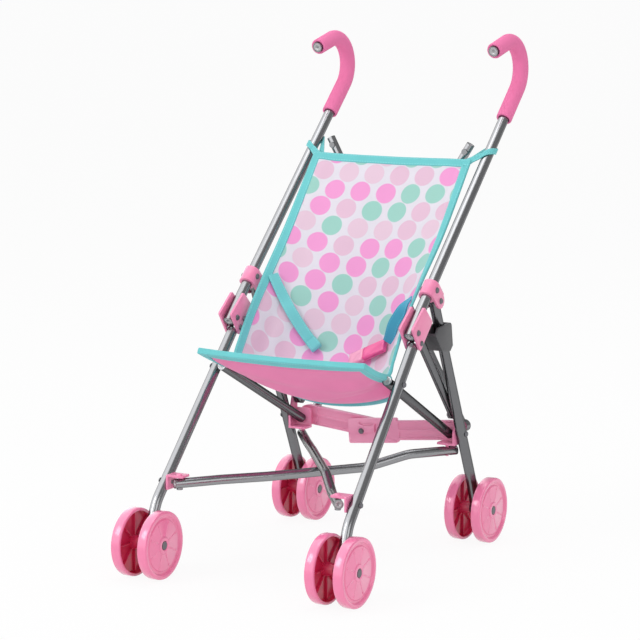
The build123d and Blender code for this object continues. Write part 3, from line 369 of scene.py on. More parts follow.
SATIN = {"metallic": 0.95, "bump": 0.03, "edge": 0.0}
GLOSSY = {"tone": 0.05, "bump": 0.03}
MOULDED = {"tone": 0.06, "grain": 1400.0, "bump": 0.06}
CLIPPED = {"coat": 0.3, "tone": 0.05, "bump": 0.04}
light_tube = hard_finish("light_satin_tube", (0.29, 0.293, 0.305), 0.2, coat=0.6, **SATIN)
dark_tube = hard_finish("dark_satin_tube", (0.17, 0.172, 0.18), 0.24, coat=0.4, **SATIN)
rivet_steel = hard_finish("dark_rivet", (0.15, 0.15, 0.165), 0.36, metallic=0.7, bump=0.06)
wheel_pink = hard_finish("glossy_wheel_pink", (0.93, 0.225, 0.425), 0.2, coat=0.7, **GLOSSY)
# a deep red for the wheel's inner side: painted shade for its hollow, darker than the wheel's own pink
wheel_inside_painted_shade = hard_finish("wheel_inside_painted_shade_red", (0.72, 0.03, 0.12), 0.3, coat=0.2, **GLOSSY)
plug_grey = hard_finish("tube_plug_grey", (0.44, 0.44, 0.45), 0.42, metallic=0.3, tone=0.05, bump=0.04)
# a lighter pink than the brackets: painted light for the lock bars and latch, which sit in the seat's shade
lock_painted_light_pink = hard_finish("lock_bar_painted_light_pink", (0.94, 0.34, 0.54), 0.3, coat=0.3, **MOULDED)
bracket_pink = hard_finish("moulded_pink", (0.90, 0.26, 0.46), 0.34, coat=0.2, **MOULDED)
socket_pink = hard_finish("buckle_socket_pink", (0.89, 0.10, 0.33), 0.28, **CLIPPED)
tongue_pink = hard_finish("buckle_tongue_pink", (0.93, 0.38, 0.56), 0.28, **CLIPPED)
catch_grey = hard_finish("dark_catch", (0.085, 0.085, 0.09), 0.45, tone=0.10, grain=1300.0, bump=0.10)
foam_pink = hard_finish("foam_pink", (0.84, 0.19, 0.41), 0.78, grain=1100.0, bump=0.32)
print("hard finishes:", len(bpy.data.materials))


# %% [markdown]
# Cloth finishes read the piece's own map, so that threads and print follow the folds. The sheen of woven
# polyester is low. Binding tape and webbing also carry their rows of stitches.


# %% Cloth finishes
CLOTH_TONE_SCALE, CLOTH_ROUGHNESS, SHEEN, SHEEN_ROUGHNESS = 36.0, 0.82, 0.15, 0.5
THREAD_BUMP, THREAD_DEPTH, STITCH_LIFT = 0.25, 0.3 * MM, 1.5


def cloth_finish(name, color, threads, tone, stitch_edge=None, stitch_color=None, printed=False):
    """A woven finish on the map called cloth, plain or printed, with or without stitches."""
    material, tree, shader = new_material(name)
    chart = tree.nodes.new("ShaderNodeUVMap")
    chart.uv_map = "cloth"
    where = chart.outputs[0]
    drifted = place_group(tree, tone_group, Color=(*color, 1), Vector=where, Scale=CLOTH_TONE_SCALE, Amount=tone)
    shown = drifted.outputs["Color"]
    height = place_group(tree, weave_group, Vector=where, Threads=threads).outputs["Height"]
    if printed:
        shown = place_group(tree, dot_group, Vector=where, Cloth=shown).outputs["Color"]
    if stitch_edge:
        sewn = place_group(tree, stitch_group, Vector=where, Edge=stitch_edge).outputs["Mask"]
        shown = mix_colors(tree, sewn, shown, (*stitch_color, 1))
        height = put(tree, "MULTIPLY_ADD", sewn, STITCH_LIFT, height)
    feed(tree, shader, {
        "Base Color": shown,
        "Roughness": CLOTH_ROUGHNESS,
        "Sheen Weight": SHEEN,
        "Sheen Roughness": SHEEN_ROUGHNESS,
        "Normal": bump_from(tree, height, THREAD_BUMP, THREAD_DEPTH),
    })
    return material


AQUA, AQUA_THREAD = (0.145, 0.57, 0.59), (0.22, 0.66, 0.67)
dotted_cloth = cloth_finish("dotted_cloth", (0.75, 0.715, 0.79), 1100.0, 0.10, printed=True)
pink_cloth = cloth_finish("pink_cloth", (0.87, 0.235, 0.47), 900.0, 0.14)
binding_tape = cloth_finish("aqua_binding", AQUA, 700.0, 0.16, 0.0032, AQUA_THREAD)
light_web = cloth_finish("aqua_webbing", (0.17, 0.60, 0.62), 500.0, 0.14, 0.0044, AQUA_THREAD)
# a deeper blue webbing with darker stitches: painted shade for the right strap, which lies in shadow
painted_shade_web = cloth_finish("painted_shade_webbing", (0.055, 0.36, 0.53), 500.0, 0.18, 0.0044, (0.09, 0.44, 0.60))
print("finishes:", [m.name for m in bpy.data.materials])


# %% [markdown]
# ## Finishes on the CAD pieces
# The tubes and rivets already have their true shapes, so they only change their material.


# %% Tubes and rivets
SIDES = (("left", -1), ("right", 1))


def only(piece):
    """Selects one piece alone and makes it the active one."""
    bpy.ops.object.select_all(action="DESELECT")
    piece.select_set(True)
    bpy.context.view_layer.objects.active = piece


def smooth(degrees):
    """Shades the selected piece smooth, apart from edges that turn by more than this."""
    bpy.ops.object.shade_smooth_by_angle(angle=math.radians(degrees))


def paint_node(name, material):
    """Gives a CAD piece its finish."""
    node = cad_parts[name]
    node.data.materials.clear()
    node.data.materials.append(material)
    only(node)
    smooth(32)
    node.select_set(False)


for side, _ in SIDES:
    for part in ("push_tube", "front_leg"):
        paint_node(f"{side}_{part}", light_tube)
    for part in ("rear_leg", "side_link", "seat_bar"):
        paint_node(f"{side}_{part}", dark_tube)
    for part in ("frame_rivets", "leg_rivets", "front_axle", "rear_axle"):
        paint_node(f"{side}_{part}", rivet_steel)
    paint_node(f"lower_brace_from_{side}", light_tube)
    paint_node(f"back_brace_from_{side}", light_tube)
paint_node("latch_rivet", rivet_steel)


# %% [markdown]
# ## Moulded plastic with soft edges
# A CAD bracket has knife-sharp edges, and no moulded plastic does. A copy of each bracket is merged, its
# flat faces are joined up, and a Bevel modifier rounds every sharp edge by less than a millimetre. The copy
# then stands for the CAD piece.


# %% Softened brackets
MERGE, FLAT_ANGLE, SOFT_ANGLE = 0.01 * MM, 1.5, 38
BRACKET_EDGE, ANGLE_EDGE, LOCK_EDGE, CATCH_EDGE = 0.6 * MM, 0.4 * MM, 0.5 * MM, 0.7 * MM


def round_edges(piece, width, segments, degrees):
    """Rounds those edges of the active piece that turn by more than this."""
    bevel = piece.modifiers.new("soft_edges", "BEVEL")
    bevel.width = width
    bevel.segments = segments
    bevel.limit_method = "ANGLE"
    bevel.angle_limit = math.radians(degrees)
    bpy.ops.object.modifier_apply(modifier=bevel.name)


def soften(node_name, body, radius, material):
    """Makes a copy of a CAD node with rounded edges, which replaces the node."""
    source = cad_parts[node_name]
    piece = bpy.data.objects.new(f"{node_name}_moulded", source.data.copy())
    scene.collection.objects.link(piece)
    only(piece)
    bpy.ops.object.mode_set(mode="EDIT")
    bpy.ops.mesh.select_all(action="SELECT")
    bpy.ops.mesh.remove_doubles(threshold=MERGE)
    bpy.ops.mesh.dissolve_limited(angle_limit=math.radians(FLAT_ANGLE))
    bpy.ops.object.mode_set(mode="OBJECT")
    round_edges(piece, radius, 2, SOFT_ANGLE)
    smooth(34)
    piece.data.materials.clear()
    piece.data.materials.append(material)
    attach(piece, body)
    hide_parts(node_name)
    return piece


for side, _ in SIDES:
    for part in ("collar", "lower_bracket", "rear_bracket"):
        soften(f"{side}_{part}", f"{side}_frame", BRACKET_EDGE, bracket_pink)
    soften(f"{side}_front_bracket", f"{side}_front_bracket", ANGLE_EDGE, bracket_pink)
    soften(f"lock_bar_{side}", f"lock_bar_{side}", LOCK_EDGE, lock_painted_light_pink)
soften("lock_latch", "lock_latch", LOCK_EDGE, lock_painted_light_pink)
soften("fold_catch", "right_frame", CATCH_EDGE, catch_grey)

# %% [markdown]
# ## Plugs in the tube ends
# Bare tube ends are sharp, so each open end of the frame is closed with a pressed plug that has a small hole
# in its middle. A cylinder is added, its front face is inset and sunk, and the plug is set into the bore.
# The pivot of each front leg gets a low round head in the same way.


# %% Plugs and pivot heads
FACING = 0.95  # the least cosine between a face's normal and the way it looks


def sink_faces(piece, way, margin, depth):
    """Insets the largest face that looks the given way, and sinks it."""
    facing = [face for face in piece.data.polygons if face.normal.dot(way) > FACING]
    target = max(facing, key=lambda face: face.area).index
    only(piece)
    bpy.ops.object.mode_set(mode="EDIT")
    bpy.ops.mesh.select_mode(type="FACE")
    bpy.ops.mesh.select_all(action="DESELECT")
    bpy.ops.object.mode_set(mode="OBJECT")
    piece.data.polygons[target].select = True
    bpy.ops.object.mode_set(mode="EDIT")
    bpy.ops.mesh.inset(thickness=margin, depth=-depth)
    bpy.ops.object.mode_set(mode="OBJECT")


def set_along(piece, centre, way):
    """Turns a piece that was made along +Z and puts it in its place."""
    piece.data.transform(Matrix.Translation(centre) @ way.to_track_quat("Z", "Y").to_matrix().to_4x4())


def turned_disc(name, radius, depth, edge, material):
    """A disc with a rounded rim whose front face lies in the XY plane."""
    bpy.ops.mesh.primitive_cylinder_add(vertices=32, radius=radius, depth=depth, location=(0, 0, -depth / 2))
    disc = bpy.context.object
    disc.name = name
    bpy.ops.object.transform_apply(location=True, rotation=False, scale=False)
    round_edges(disc, edge, 3, 30)
    smooth(34)
    disc.data.materials.append(material)
    return disc


PLUG_DEPTH, PLUG_SUNK, PLUG_RIM = 4.0 * MM, 0.2 * MM, 0.3 * MM
HOLE_SHARE, HOLE_TAPER, HOLE_DEPTH = 0.36, 0.08 * MM, 1.6 * MM
FRONT_FACE = Vector((0, 0, 1))
TUBE_ENDS = [  # label, body, the end's middle, the way it looks and its bore, on the right side
    ("foot", "{near}_frame", (107.0, -37.6, 242.5), (0, -0.7218, -0.6921), 4.5),
    ("handle", "{near}_frame", (107.0, 149.88, 521.7), (0, -0.9668, -0.2554), 4.5),
    ("seat_bar", "{near}_seat_bar", (97.25, -66.42, 201.06), (0.0359, -0.8842, 0.4657), 4.0),
    ("brace_front", "lower_brace_from_{far}", (95.28, -161.42, 93.33), (0.5963, -0.8028, 0), 4.0),
    ("brace_rear", "lower_brace_from_{near}", (95.06, 94.83, 102.0), (0.5963, 0.8028, 0), 4.0),
    ("brace_top", "back_brace_from_{far}", (88.0, 137.15, 424.0), (0.5076, 0.0737, 0.8584), 3.5),
]
BRACE_TOP_STEP = 10.5  # the left brace top lies further back, because the braces pass each other
for near, far, sign in (("left", "right", -1), ("right", "left", 1)):
    for label, body, (x, y, z), (way_x, way_y, way_z), bore in TUBE_ENDS:
        plug = turned_disc(f"{near}_{label}_plug", bore * MM, PLUG_DEPTH, PLUG_RIM, plug_grey)
        sink_faces(plug, FRONT_FACE, (1 - HOLE_SHARE) * bore * MM, 0.0)
        sink_faces(plug, FRONT_FACE, HOLE_TAPER, HOLE_DEPTH)
        back = BRACE_TOP_STEP if label == "brace_top" and sign < 0 else 0.0
        way = Vector((sign * way_x, way_y, way_z)).normalized()
        set_along(plug, Vector((sign * x, y + back, z)) * MM - way * PLUG_SUNK, way)
        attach(plug, body.format(near=near, far=far))

PIVOT_HEAD_R, PIVOT_HEAD_H, PIVOT_RIM = 2.7 * MM, 1.3 * MM, 0.7 * MM
LEG_PIVOT = Vector((115.4, -26.44, 235.19)) * MM
for side, sign in SIDES:
    head = turned_disc(f"{side}_leg_pivot_head", PIVOT_HEAD_R, 2 * PIVOT_HEAD_H, PIVOT_RIM, rivet_steel)
    way = Vector((sign, 0, 0))
    set_along(head, Vector((sign * LEG_PIVOT.x, LEG_PIVOT.y, LEG_PIVOT.z)) + way * PIVOT_HEAD_H, way)
    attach(head, f"{side}_frame")

# %% [markdown]
# ## Wheels
# A wheel is one plastic moulding: a broad rim with round edges, a sunk face with a raised disc, fine ribs
# that run out from the hub, and an open inner side with stiffening ribs. Its section is drawn once and spun
# round the axle, and the ribs are thin boxes. The wheel is then copied to all eight places.

# %% One wheel, with its outer face towards +X
WHEEL_PITCH = 31.6 * MM  # between the two wheels of a leg
WHEEL_SECTION = [
    (-9.9, 2.6), (-9.9, 5.0), (-7.5, 5.9), (0.2, 7.5), (0.7, 9.5), (0.7, 30.6), (-0.3, 31.6), (-4.9, 31.8),
    (-5.5, 32.4), (-5.5, 33.6), (-4.9, 34.6), (-3.8, 35.0), (3.6, 35.0), (4.8, 34.6), (5.4, 33.6), (5.5, 32.4),
    (5.4, 30.8), (4.9, 30.1), (3.6, 29.7), (3.2, 29.1), (3.2, 27.2), (3.5, 26.5), (4.2, 26.0), (4.4, 25.2),
    (4.4, 9.6), (4.7, 8.8), (5.4, 8.3), (5.5, 7.6), (5.5, 5.2), (5.3, 4.8), (3.8, 4.6), (3.7, 2.6),
]
SPIN_STEPS, SPIN_MERGE = 72, 0.02 * MM


def close_spin():
    """Joins a spun mesh at its seams, turns its faces outward and leaves edit mode."""
    bpy.ops.mesh.select_all(action="SELECT")
    bpy.ops.mesh.remove_doubles(threshold=SPIN_MERGE)
    bpy.ops.mesh.normals_make_consistent(inside=False)
    bpy.ops.object.mode_set(mode="OBJECT")


bpy.ops.mesh.primitive_circle_add(vertices=len(WHEEL_SECTION), radius=0.01)
wheel = bpy.context.object
wheel.name = "wheel"
for vertex, (across, out) in zip(wheel.data.vertices, WHEEL_SECTION):
    vertex.co = (across * MM, 0, out * MM)
bpy.ops.object.mode_set(mode="EDIT")
bpy.ops.mesh.select_all(action="SELECT")
bpy.ops.mesh.spin(steps=SPIN_STEPS, angle=2 * math.pi, center=(0, 0, 0), axis=(1, 0, 0))
close_spin()

RIBS = 8
FACE_RIB = (16.4, 1.6, 0.6, 4.28, 17.2)  # length, thickness, depth, its middle along the axle and out from it
FACE_KNOB = (1.9, 1.9, 0.9, 4.4, 23.2)
BACK_RIB = (24.4, 1.5, 2.4, -0.4, 19.2)
RIB_EDGE_SHARE = 0.3


def add_rib(sizes, angle):
    """Adds one thin box that runs out from the axle, turned to its place round it."""
    length, thickness, depth, along, out = (size * MM for size in sizes)
    bpy.ops.mesh.primitive_cube_add(size=1)
    rib = bpy.context.object
    rib.scale = (depth, thickness, length)
    rib.location = (along, 0, out)
    bpy.ops.object.transform_apply(location=True, rotation=False, scale=True)
    rib.data.transform(Matrix.Rotation(angle, 4, "X"))
    round_edges(rib, min(thickness, depth) * RIB_EDGE_SHARE, 2, 30)
    return rib


wheel_ribs = []
for count in range(RIBS):
    turn = 2 * math.pi * (count + 0.5) / RIBS
    wheel_ribs += [add_rib(FACE_RIB, turn), add_rib(FACE_KNOB, turn)]
for count in range(RIBS):
    wheel_ribs.append(add_rib(BACK_RIB, 2 * math.pi * count / RIBS))
only(wheel)
for rib in wheel_ribs:
    rib.select_set(True)
bpy.ops.object.join()
smooth(40)
wheel.data.materials.append(wheel_pink)
wheel.data.materials.append(wheel_inside_painted_shade)
# Faces on the inner side, within the rim, take the deep red: painted shade in the wheel's hollow.
INSIDE_X, INSIDE_R = 0.75 * MM, 32.0 * MM
for face in wheel.data.polygons:
    x, y, z = face.center
    face.material_index = 1 if x < INSIDE_X and math.hypot(y, z) < INSIDE_R else 0
print("wheel has", len(wheel.data.polygons), "faces")

# %% Eight wheels
HUBS = {"front": Vector((112, -187.5, 35)) * MM, "rear": Vector((107, 119, 35)) * MM}
for side, sign in SIDES:
    for end, hub in HUBS.items():
        for place, outward in (("outer", 1), ("inner", -1)):
            node = f"{side}_{end}_{place}_wheel"
            facing = sign * outward
            copy = bpy.data.objects.new(f"{node}_moulded", wheel.data.copy())
            scene.collection.objects.link(copy)
            centre = Vector((sign * hub.x + facing * WHEEL_PITCH / 2, hub.y, hub.z))
            half_turn = Matrix.Rotation(0 if facing > 0 else math.pi, 4, "Z")
            copy.data.transform(Matrix.Translation(centre) @ half_turn)
            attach(copy, node)
            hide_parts(node)
bpy.data.objects.remove(wheel)

# %% [markdown]
# ## Foam grips
# A grip is a foam sleeve pulled over the hooked end of the push tube. By hand one starts with an open
# cylinder round the straight part, spins its top ring round the hook and extrudes the last straight end.
# Solidify gives the wall, and a bevel rounds the rims.

# %% Foam grips
PUSH_SLOPE = math.radians(43.8)
UP_TUBE = Vector((0, math.cos(PUSH_SLOPE), math.sin(PUSH_SLOPE)))
OFF_TUBE = Vector((0, math.sin(PUSH_SLOPE), -math.cos(PUSH_SLOPE)))
FOOT = Vector((107, -37.6, 242.5)) * MM
TUBE_R = 5.5 * MM
GRIP_R, GRIP_GAP, GRIP_RIM = 8.5 * MM, 0.1 * MM, 1.3 * MM
GRIP_FROM, PUSH_RUN = 298 * MM, 342 * MM  # along the tube, from its foot
GRIP_RUN = PUSH_RUN - GRIP_FROM
HOOK_R, HOOK_TURN, HOOK_STEPS = 30 * MM, math.radians(151), 30
TIP_RUN, TIP_STEPS = 29.5 * MM, 3
MIRROR = Matrix.Scale(-1, 4, (1, 0, 0))


def on_push_tube(along, drop=0.0, out=0.0):
    """A point of the right push tube's own plane."""
    return FOOT + UP_TUBE * along + OFF_TUBE * drop + Vector((out, 0, 0))


def apply_all(piece):
    """Applies a piece's modifiers from the top of the stack down."""
    only(piece)
    for modifier in list(piece.modifiers):
        bpy.ops.object.modifier_apply(modifier=modifier.name)


def mirrored(piece, name):
    """A copy of a right-hand piece for the left side."""
    copy = bpy.data.objects.new(name, piece.data.copy())
    scene.collection.objects.link(copy)
    copy.data.transform(MIRROR)
    copy.data.flip_normals()
    return copy


HOOK_CENTRE = on_push_tube(PUSH_RUN, -HOOK_R)
TIP_DIR = Matrix.Rotation(HOOK_TURN, 3, "X") @ UP_TUBE
bpy.ops.mesh.primitive_cylinder_add(vertices=40, radius=GRIP_R, depth=GRIP_RUN, end_fill_type="NOTHING")
sleeve = bpy.context.object
sleeve.name = "right_foam_grip"
for face in sleeve.data.polygons:
    face.select = False
for vertex in sleeve.data.vertices:
    vertex.select = vertex.co.z > 0
for edge in sleeve.data.edges:
    edge.select = all(sleeve.data.vertices[index].select for index in edge.vertices)
upright = UP_TUBE.to_track_quat("Z", "X").to_matrix().to_4x4()
sleeve.data.transform(Matrix.Translation(on_push_tube(GRIP_FROM + GRIP_RUN / 2)) @ upright)
bpy.ops.object.mode_set(mode="EDIT")
bpy.ops.mesh.spin(steps=HOOK_STEPS, angle=-HOOK_TURN, center=HOOK_CENTRE, axis=(1, 0, 0))
for step in range(TIP_STEPS):
    bpy.ops.mesh.extrude_region_move(TRANSFORM_OT_translate={"value": TIP_DIR * TIP_RUN / TIP_STEPS})
close_spin()
wall = sleeve.modifiers.new("foam_wall", "SOLIDIFY")
wall.thickness = GRIP_R - TUBE_R - GRIP_GAP
wall.offset = -1
apply_all(sleeve)
round_edges(sleeve, GRIP_RIM, 3, 60)
smooth(50)
sleeve.data.materials.append(foam_pink)
left_sleeve = mirrored(sleeve, "left_foam_grip")
for side, grip in (("left", left_sleeve), ("right", sleeve)):
    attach(grip, f"{side}_frame")
    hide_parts(f"{side}_grip")
print("the sleeve's box is", [round(d / MM) for d in sleeve.dimensions])

# %% [markdown]
# ## The sling seat
# The seat is one length of printed cloth between the side frames: a back that leans, a bowl and a short
# front. Each station below is one cross line of it: the edge's y and z, the half width, and how far the
# middle sags in y and z. A grid is added, its rows run through the stations on a smooth curve and its
# columns lie on the sagging arcs. Hung cloth is never quite even, so shallow folds run from where it is held.

# %% Sling stations
SEAT_STATIONS = [
    (124.6, 408.0, 95.0, 1, -1.2),
    (63.0, 337.0, 95.0, 14, -16),
    (15.0, 289.5, 93.5, 30, -33),
    (-20.0, 252.0, 92.5, 42, -45),
    (-43.0, 219.0, 93.0, 33, -51),
    (-54.0, 205.0, 94.0, 12, -31),
    (-82.0, 211.0, 95.5, 6, -20),
    (-112.0, 224.0, 97.0, 1, -2),
]
CLOTH_T = 1.3 * MM
CLOTH_MIDDLE = -1.0  # the cloth's middle surface, in millimetres below the arcs
LAST = len(SEAT_STATIONS) - 1


def station_at(place):
    """The station at a place between 0 and the last one, on a smooth curve through all of them."""
    start = min(int(place), LAST - 1)
    share = place - start
    four = [SEAT_STATIONS[min(max(start + step, 0), LAST)] for step in (-1, 0, 1, 2)]
    mixed = []
    for before, here, after, beyond in zip(*four):
        leave, arrive = (after - before) / 2, (beyond - here) / 2
        bend = 3 * (after - here) - 2 * leave - arrive
        twist = 2 * (here - after) + leave + arrive
        mixed.append(here + share * (leave + share * (bend + share * twist)))
    return mixed


def on_sling(place, across, below=CLOTH_MIDDLE):
    """A point of the sling in metres: across runs from -1 to 1, below is a depth in millimetres."""
    y, z, half, sag_y, sag_z = station_at(place)
    sag = Vector((0, sag_y, sag_z))
    depth = sag.length
    radius = (half * half + depth * depth) / (2 * depth)
    angle = 2 * math.atan2(depth, half) * across
    drop = radius * math.cos(angle) - radius + depth + below
    return (Vector((radius * math.sin(angle), y, z)) + sag.normalized() * drop) * MM


def bump_at(value, middle, spread):
    """A soft hill of height 1 at the middle."""
    return math.exp(-(((value - middle) / spread) ** 2))


WAVE, CORNER_FOLD, PULL_FOLD = 1.0, 1.6, 1.1
HELD_FOLDS = [  # height, place across and along, spread along, waves across and along
    (1.6, -0.74, 3.0, 1.0, 26, 0.7),
    (1.2, 0.72, 3.1, 0.9, -24, 0.9),
]
HELD_SPREAD = 0.17


def sling_fold(place, across):
    """How far the cloth stands off its smooth form, in millimetres; it lies still at its edges."""
    wave = WAVE * math.sin(9.0 * across + 1.1 * place) * math.sin(0.9 * place + 0.4)
    hold = 0.0
    for height, over, at, spread, waves, drift in HELD_FOLDS:
        hill = bump_at(across, over, HELD_SPREAD) * bump_at(place, at, spread)
        hold += height * hill * math.sin(waves * across + drift * place)
    corner = CORNER_FOLD * bump_at(place, 0.3, 0.6) * math.sin(16 * across) * across * across
    pull = PULL_FOLD * bump_at(place, 4.4, 0.8) * math.sin(14 * across + 3.0 * place)
    fade = min(1.0, 6 * (1 - abs(across)), 3 * place + 0.15, 3 * (LAST - place) + 0.15)
    return fade * (wave + hold + corner + pull)


def smooth_step(low, high, value):
    """Rises softly from 0 at low to 1 at high."""
    share = min(max((value - low) / (high - low), 0.0), 1.0)
    return share * share * (3 - 2 * share)


def cloth_point(place, across):
    """A point of the folded cloth."""
    return on_sling(place, across, CLOTH_MIDDLE + sling_fold(place, across))


NEAR = 0.02  # a short step, to find directions


def off_sling(place, across):
    """The direction out of the sling, towards the sitter."""
    along = on_sling(place + NEAR, across) - on_sling(place - NEAR, across)
    sideways = on_sling(place, across + NEAR) - on_sling(place, across - NEAR)
    return along.cross(sideways).normalized()


# %% [markdown]
# A grid that becomes cloth needs a map in which one unit is one metre of cloth, or the print would stretch.
# The lengths are measured along the rows and columns of the finished grid.


# %% Cloth helper
def cloth_grid(name, columns, rows, point, thickness, material):
    """A sheet on point(row share, column share), mapped in metres; gives it with its width, length and area."""
    bpy.ops.mesh.primitive_grid_add(x_subdivisions=columns, y_subdivisions=rows, size=1)
    piece = bpy.context.object
    piece.name = name
    mesh = piece.data
    places, spot = [], {}
    for vertex in mesh.vertices:
        row, column = round((vertex.co.y + 0.5) * rows), round((vertex.co.x + 0.5) * columns)
        places.append((row, column))
        vertex.co = spot[row, column] = point(row / rows, column / columns)
    chart = {}
    for row in range(rows + 1):
        run = [0.0]
        for column in range(columns):
            run.append(run[-1] + (spot[row, column + 1] - spot[row, column]).length)
        for column in range(columns + 1):
            down = 0.0
            if row:
                down = chart[row - 1, column][1] + (spot[row, column] - spot[row - 1, column]).length
            chart[row, column] = (run[column] - run[-1] / 2, down)
    layer = mesh.uv_layers[0]
    layer.name = "cloth"
    for loop in mesh.loops:
        layer.data[loop.index].uv = chart[places[loop.vertex_index]]
    area = sum(face.area for face in mesh.polygons)
    width = max(chart[row, columns][0] for row in range(rows + 1)) * 2
    length = max(chart[rows, column][1] for column in range(columns + 1))
    thick = piece.modifiers.new("cloth_thickness", "SOLIDIFY")
    thick.thickness = thickness
    thick.offset = 0
    apply_all(piece)
    smooth(60)
    mesh.materials.append(material)
    return piece, width, length, area


FOLD_ANCHOR, FOLD_KEEP = (-86 * MM, 0, 0), 0.30  # folded, the cloth lies between the two seat bars


def folds_with_frame(piece):
    """Gives the cloth its own mesh and lets it ride on the left frame."""
    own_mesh(piece)
    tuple(FOLD_ANCHOR)
    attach(piece, "left_frame")
    return piece


# %% Sling
sling, sling_w, sling_l, sling_area = cloth_grid(
    "printed_sling", 72, 96, lambda down, over: cloth_point(LAST * down, 2 * over - 1), CLOTH_T, dotted_cloth
)
print("sling is cut", round(sling_w, 3), "by", round(sling_l, 3), "m, area", round(sling_area, 4))

# %% [markdown]
# ## Front panel
# Under the front edge hangs a pink panel, sewn to the same binding. It follows the bowl from below, a little
# fuller than the sling, with long soft folds that run across it. Its rear edge is free and hemmed, and hangs
# down, most of all on the right.

# %% Front panel
PANEL_FROM, PANEL_BELOW, PANEL_FULL = 4.0, 2.6, 1.6
PANEL_FOLDS = [(2.1, 15, 2.4), (1.3, 27, -3.6)]  # height, waves down and across
HEM_DROP, HANG_LEFT, HANG_RIGHT, HANG_POWER, HANG_FROM = 1.0, 8.0, 30.0, 2.2, 0.62
HANG_DIR = Vector((0, -0.25, -1))


def panel_point(down, over):
    """A point of the panel, from the front edge down to the hem and from left to right."""
    place = LAST - (LAST - PANEL_FROM) * down
    across = 2 * over - 1
    folds = PANEL_FULL + sum(height * math.sin(a * down + b * across) for height, a, b in PANEL_FOLDS)
    folds *= math.sin(math.pi * min(1.0, 1.2 * down)) * min(1.0, 5 * (1 - abs(across)))
    hang = HANG_RIGHT if across > 0 else HANG_LEFT
    fall = (HEM_DROP + hang * abs(across) ** HANG_POWER) * smooth_step(HANG_FROM, 1.0, down)
    return on_sling(place, across, PANEL_BELOW + folds) + HANG_DIR * fall * MM


panel, panel_w, panel_l, panel_area = cloth_grid("pink_panel", 64, 44, panel_point, CLOTH_T, pink_cloth)
print("panel is cut", round(panel_w, 3), "by", round(panel_l, 3), "m")

# %% [markdown]
# ## Bindings
# Every edge is bound with an aqua tape, folded over the edge and sewn through. A tape is a narrow grid along
# the edge with a thickness and round borders, so the edge looks full and the two rows of stitches show.


# %% Tape helper
def tape(name, path, across, width, thickness, material, rows=4, borders=0.9 * MM):
    """Lays a tape along a path; across gives the direction of its width at each point."""
    last = len(path) - 1

    def point(down, over):
        index = round(down * last)
        return path[index] + across[index].normalized() * ((over - 0.5) * width)

    piece = cloth_grid(name, rows, last, point, thickness, material)[0]
    for corner in piece.data.uv_layers["cloth"].data:
        corner.uv = (corner.uv.y, corner.uv.x)
    round_edges(piece, borders, 2, 55)
    smooth(60)
    return piece


BINDING_W, BINDING_T, BINDING_PAST = 9.5 * MM, 3.0 * MM, 0.6 * MM  # the tape stands out a little past the edge
FRONT_T, FRONT_SHIFT = 6.4 * MM, 1.8 * MM  # the front binding also takes in the panel
CORNER_PLACE = 5.0  # where the front binding starts on a side edge
SIDE_INWARD = 9.0  # in millimetres
SIDE_STEPS, CORNER_STEPS, END_BINDING_STEPS = 70, 24, 60


def side_spots(sign, first, last, steps):
    """Pairs of spots along a part of one long edge: on the edge and further in."""
    for step in range(steps + 1):
        place = first + (last - first) * step / steps
        yield (place, sign), (place, sign * (1 - SIDE_INWARD / station_at(place)[2]))


def end_spots(place, inward):
    """Pairs of spots along the top or front edge: on the edge and further in."""
    for step in range(END_BINDING_STEPS + 1):
        over = 2 * step / END_BINDING_STEPS - 1
        yield (place, over), (place + inward, over)


def bind(name, spots, facing, thickness, shift):
    """Lays a tape over an edge, shifted down off the sling."""
    path, across = [], []
    for on_edge, further_in in spots:
        edge, inner = cloth_point(*on_edge), cloth_point(*further_in)
        middle = edge + (inner - edge).normalized() * (BINDING_W / 2 - BINDING_PAST)
        path.append(middle - off_sling(*on_edge) * shift)
        across.append((inner - edge) * facing)
    return tape(name, path, across, BINDING_W, thickness, binding_tape)


bindings = []
for side, sign in SIDES:
    long_edge = side_spots(sign, 0.0, CORNER_PLACE, SIDE_STEPS)
    bindings.append(bind(f"{side}_binding", long_edge, -1, BINDING_T, 0.0))
    corner_edge = side_spots(sign, CORNER_PLACE, LAST, CORNER_STEPS)
    bindings.append(bind(f"{side}_corner_binding", corner_edge, -1, FRONT_T, FRONT_SHIFT))
bindings.append(bind("top_binding", end_spots(0.0, 0.1), 1, BINDING_T, 0.0))
bindings.append(bind("front_binding", end_spots(float(LAST), -0.3), 1, FRONT_T, FRONT_SHIFT))
HEM_W, HEM_T, HEM_LAP, HEM_STEPS = 8.0 * MM, 2.6 * MM, 1.0 * MM, 60
HEM_DOWN = Vector((0, 0.2, -1))
hem_edge = [panel_point(1.0, step / HEM_STEPS) for step in range(HEM_STEPS + 1)]
hem_path = [point + HEM_DOWN * (HEM_W / 2 - HEM_LAP) for point in hem_edge]
hem = tape("panel_hem", hem_path, [HEM_DOWN] * len(hem_path), HEM_W, HEM_T, binding_tape)
for piece in bindings + [hem]:
    folds_with_frame(piece)
folds_with_frame(sling)
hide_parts("seat_sling")
folds_with_frame(panel)
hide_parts("front_panel")
print("bindings:", [piece.name for piece in bindings], "and", hem.name)

# %% [markdown]
# ## Corner straps
# At each top corner the binding runs on as a loop round the push tube. The loop leaves the corner, passes
# behind the tube, comes round its outer side and returns over its front, so its two legs make a V.

# %% Corner straps
STRAP_W, STRAP_T, STRAP_BORDER = 8.4 * MM, 1.5 * MM, 0.4 * MM
STRAP_AT, CORNER_AT = 252 * MM, 226 * MM
CORNER_DROP, CORNER_OUT, ENDS_APART = -6.4 * MM, -20 * MM, 1.6 * MM
LOOP_R, LOOP_TURN, LOOP_STEPS = TUBE_R + 1.2 * MM, math.radians(125), 40
LEG_SPREAD, LEG_STEPS = 11.5 * MM, 12
END_ACROSS = (UP_TUBE - Vector((0.8, 0, 0))).normalized()


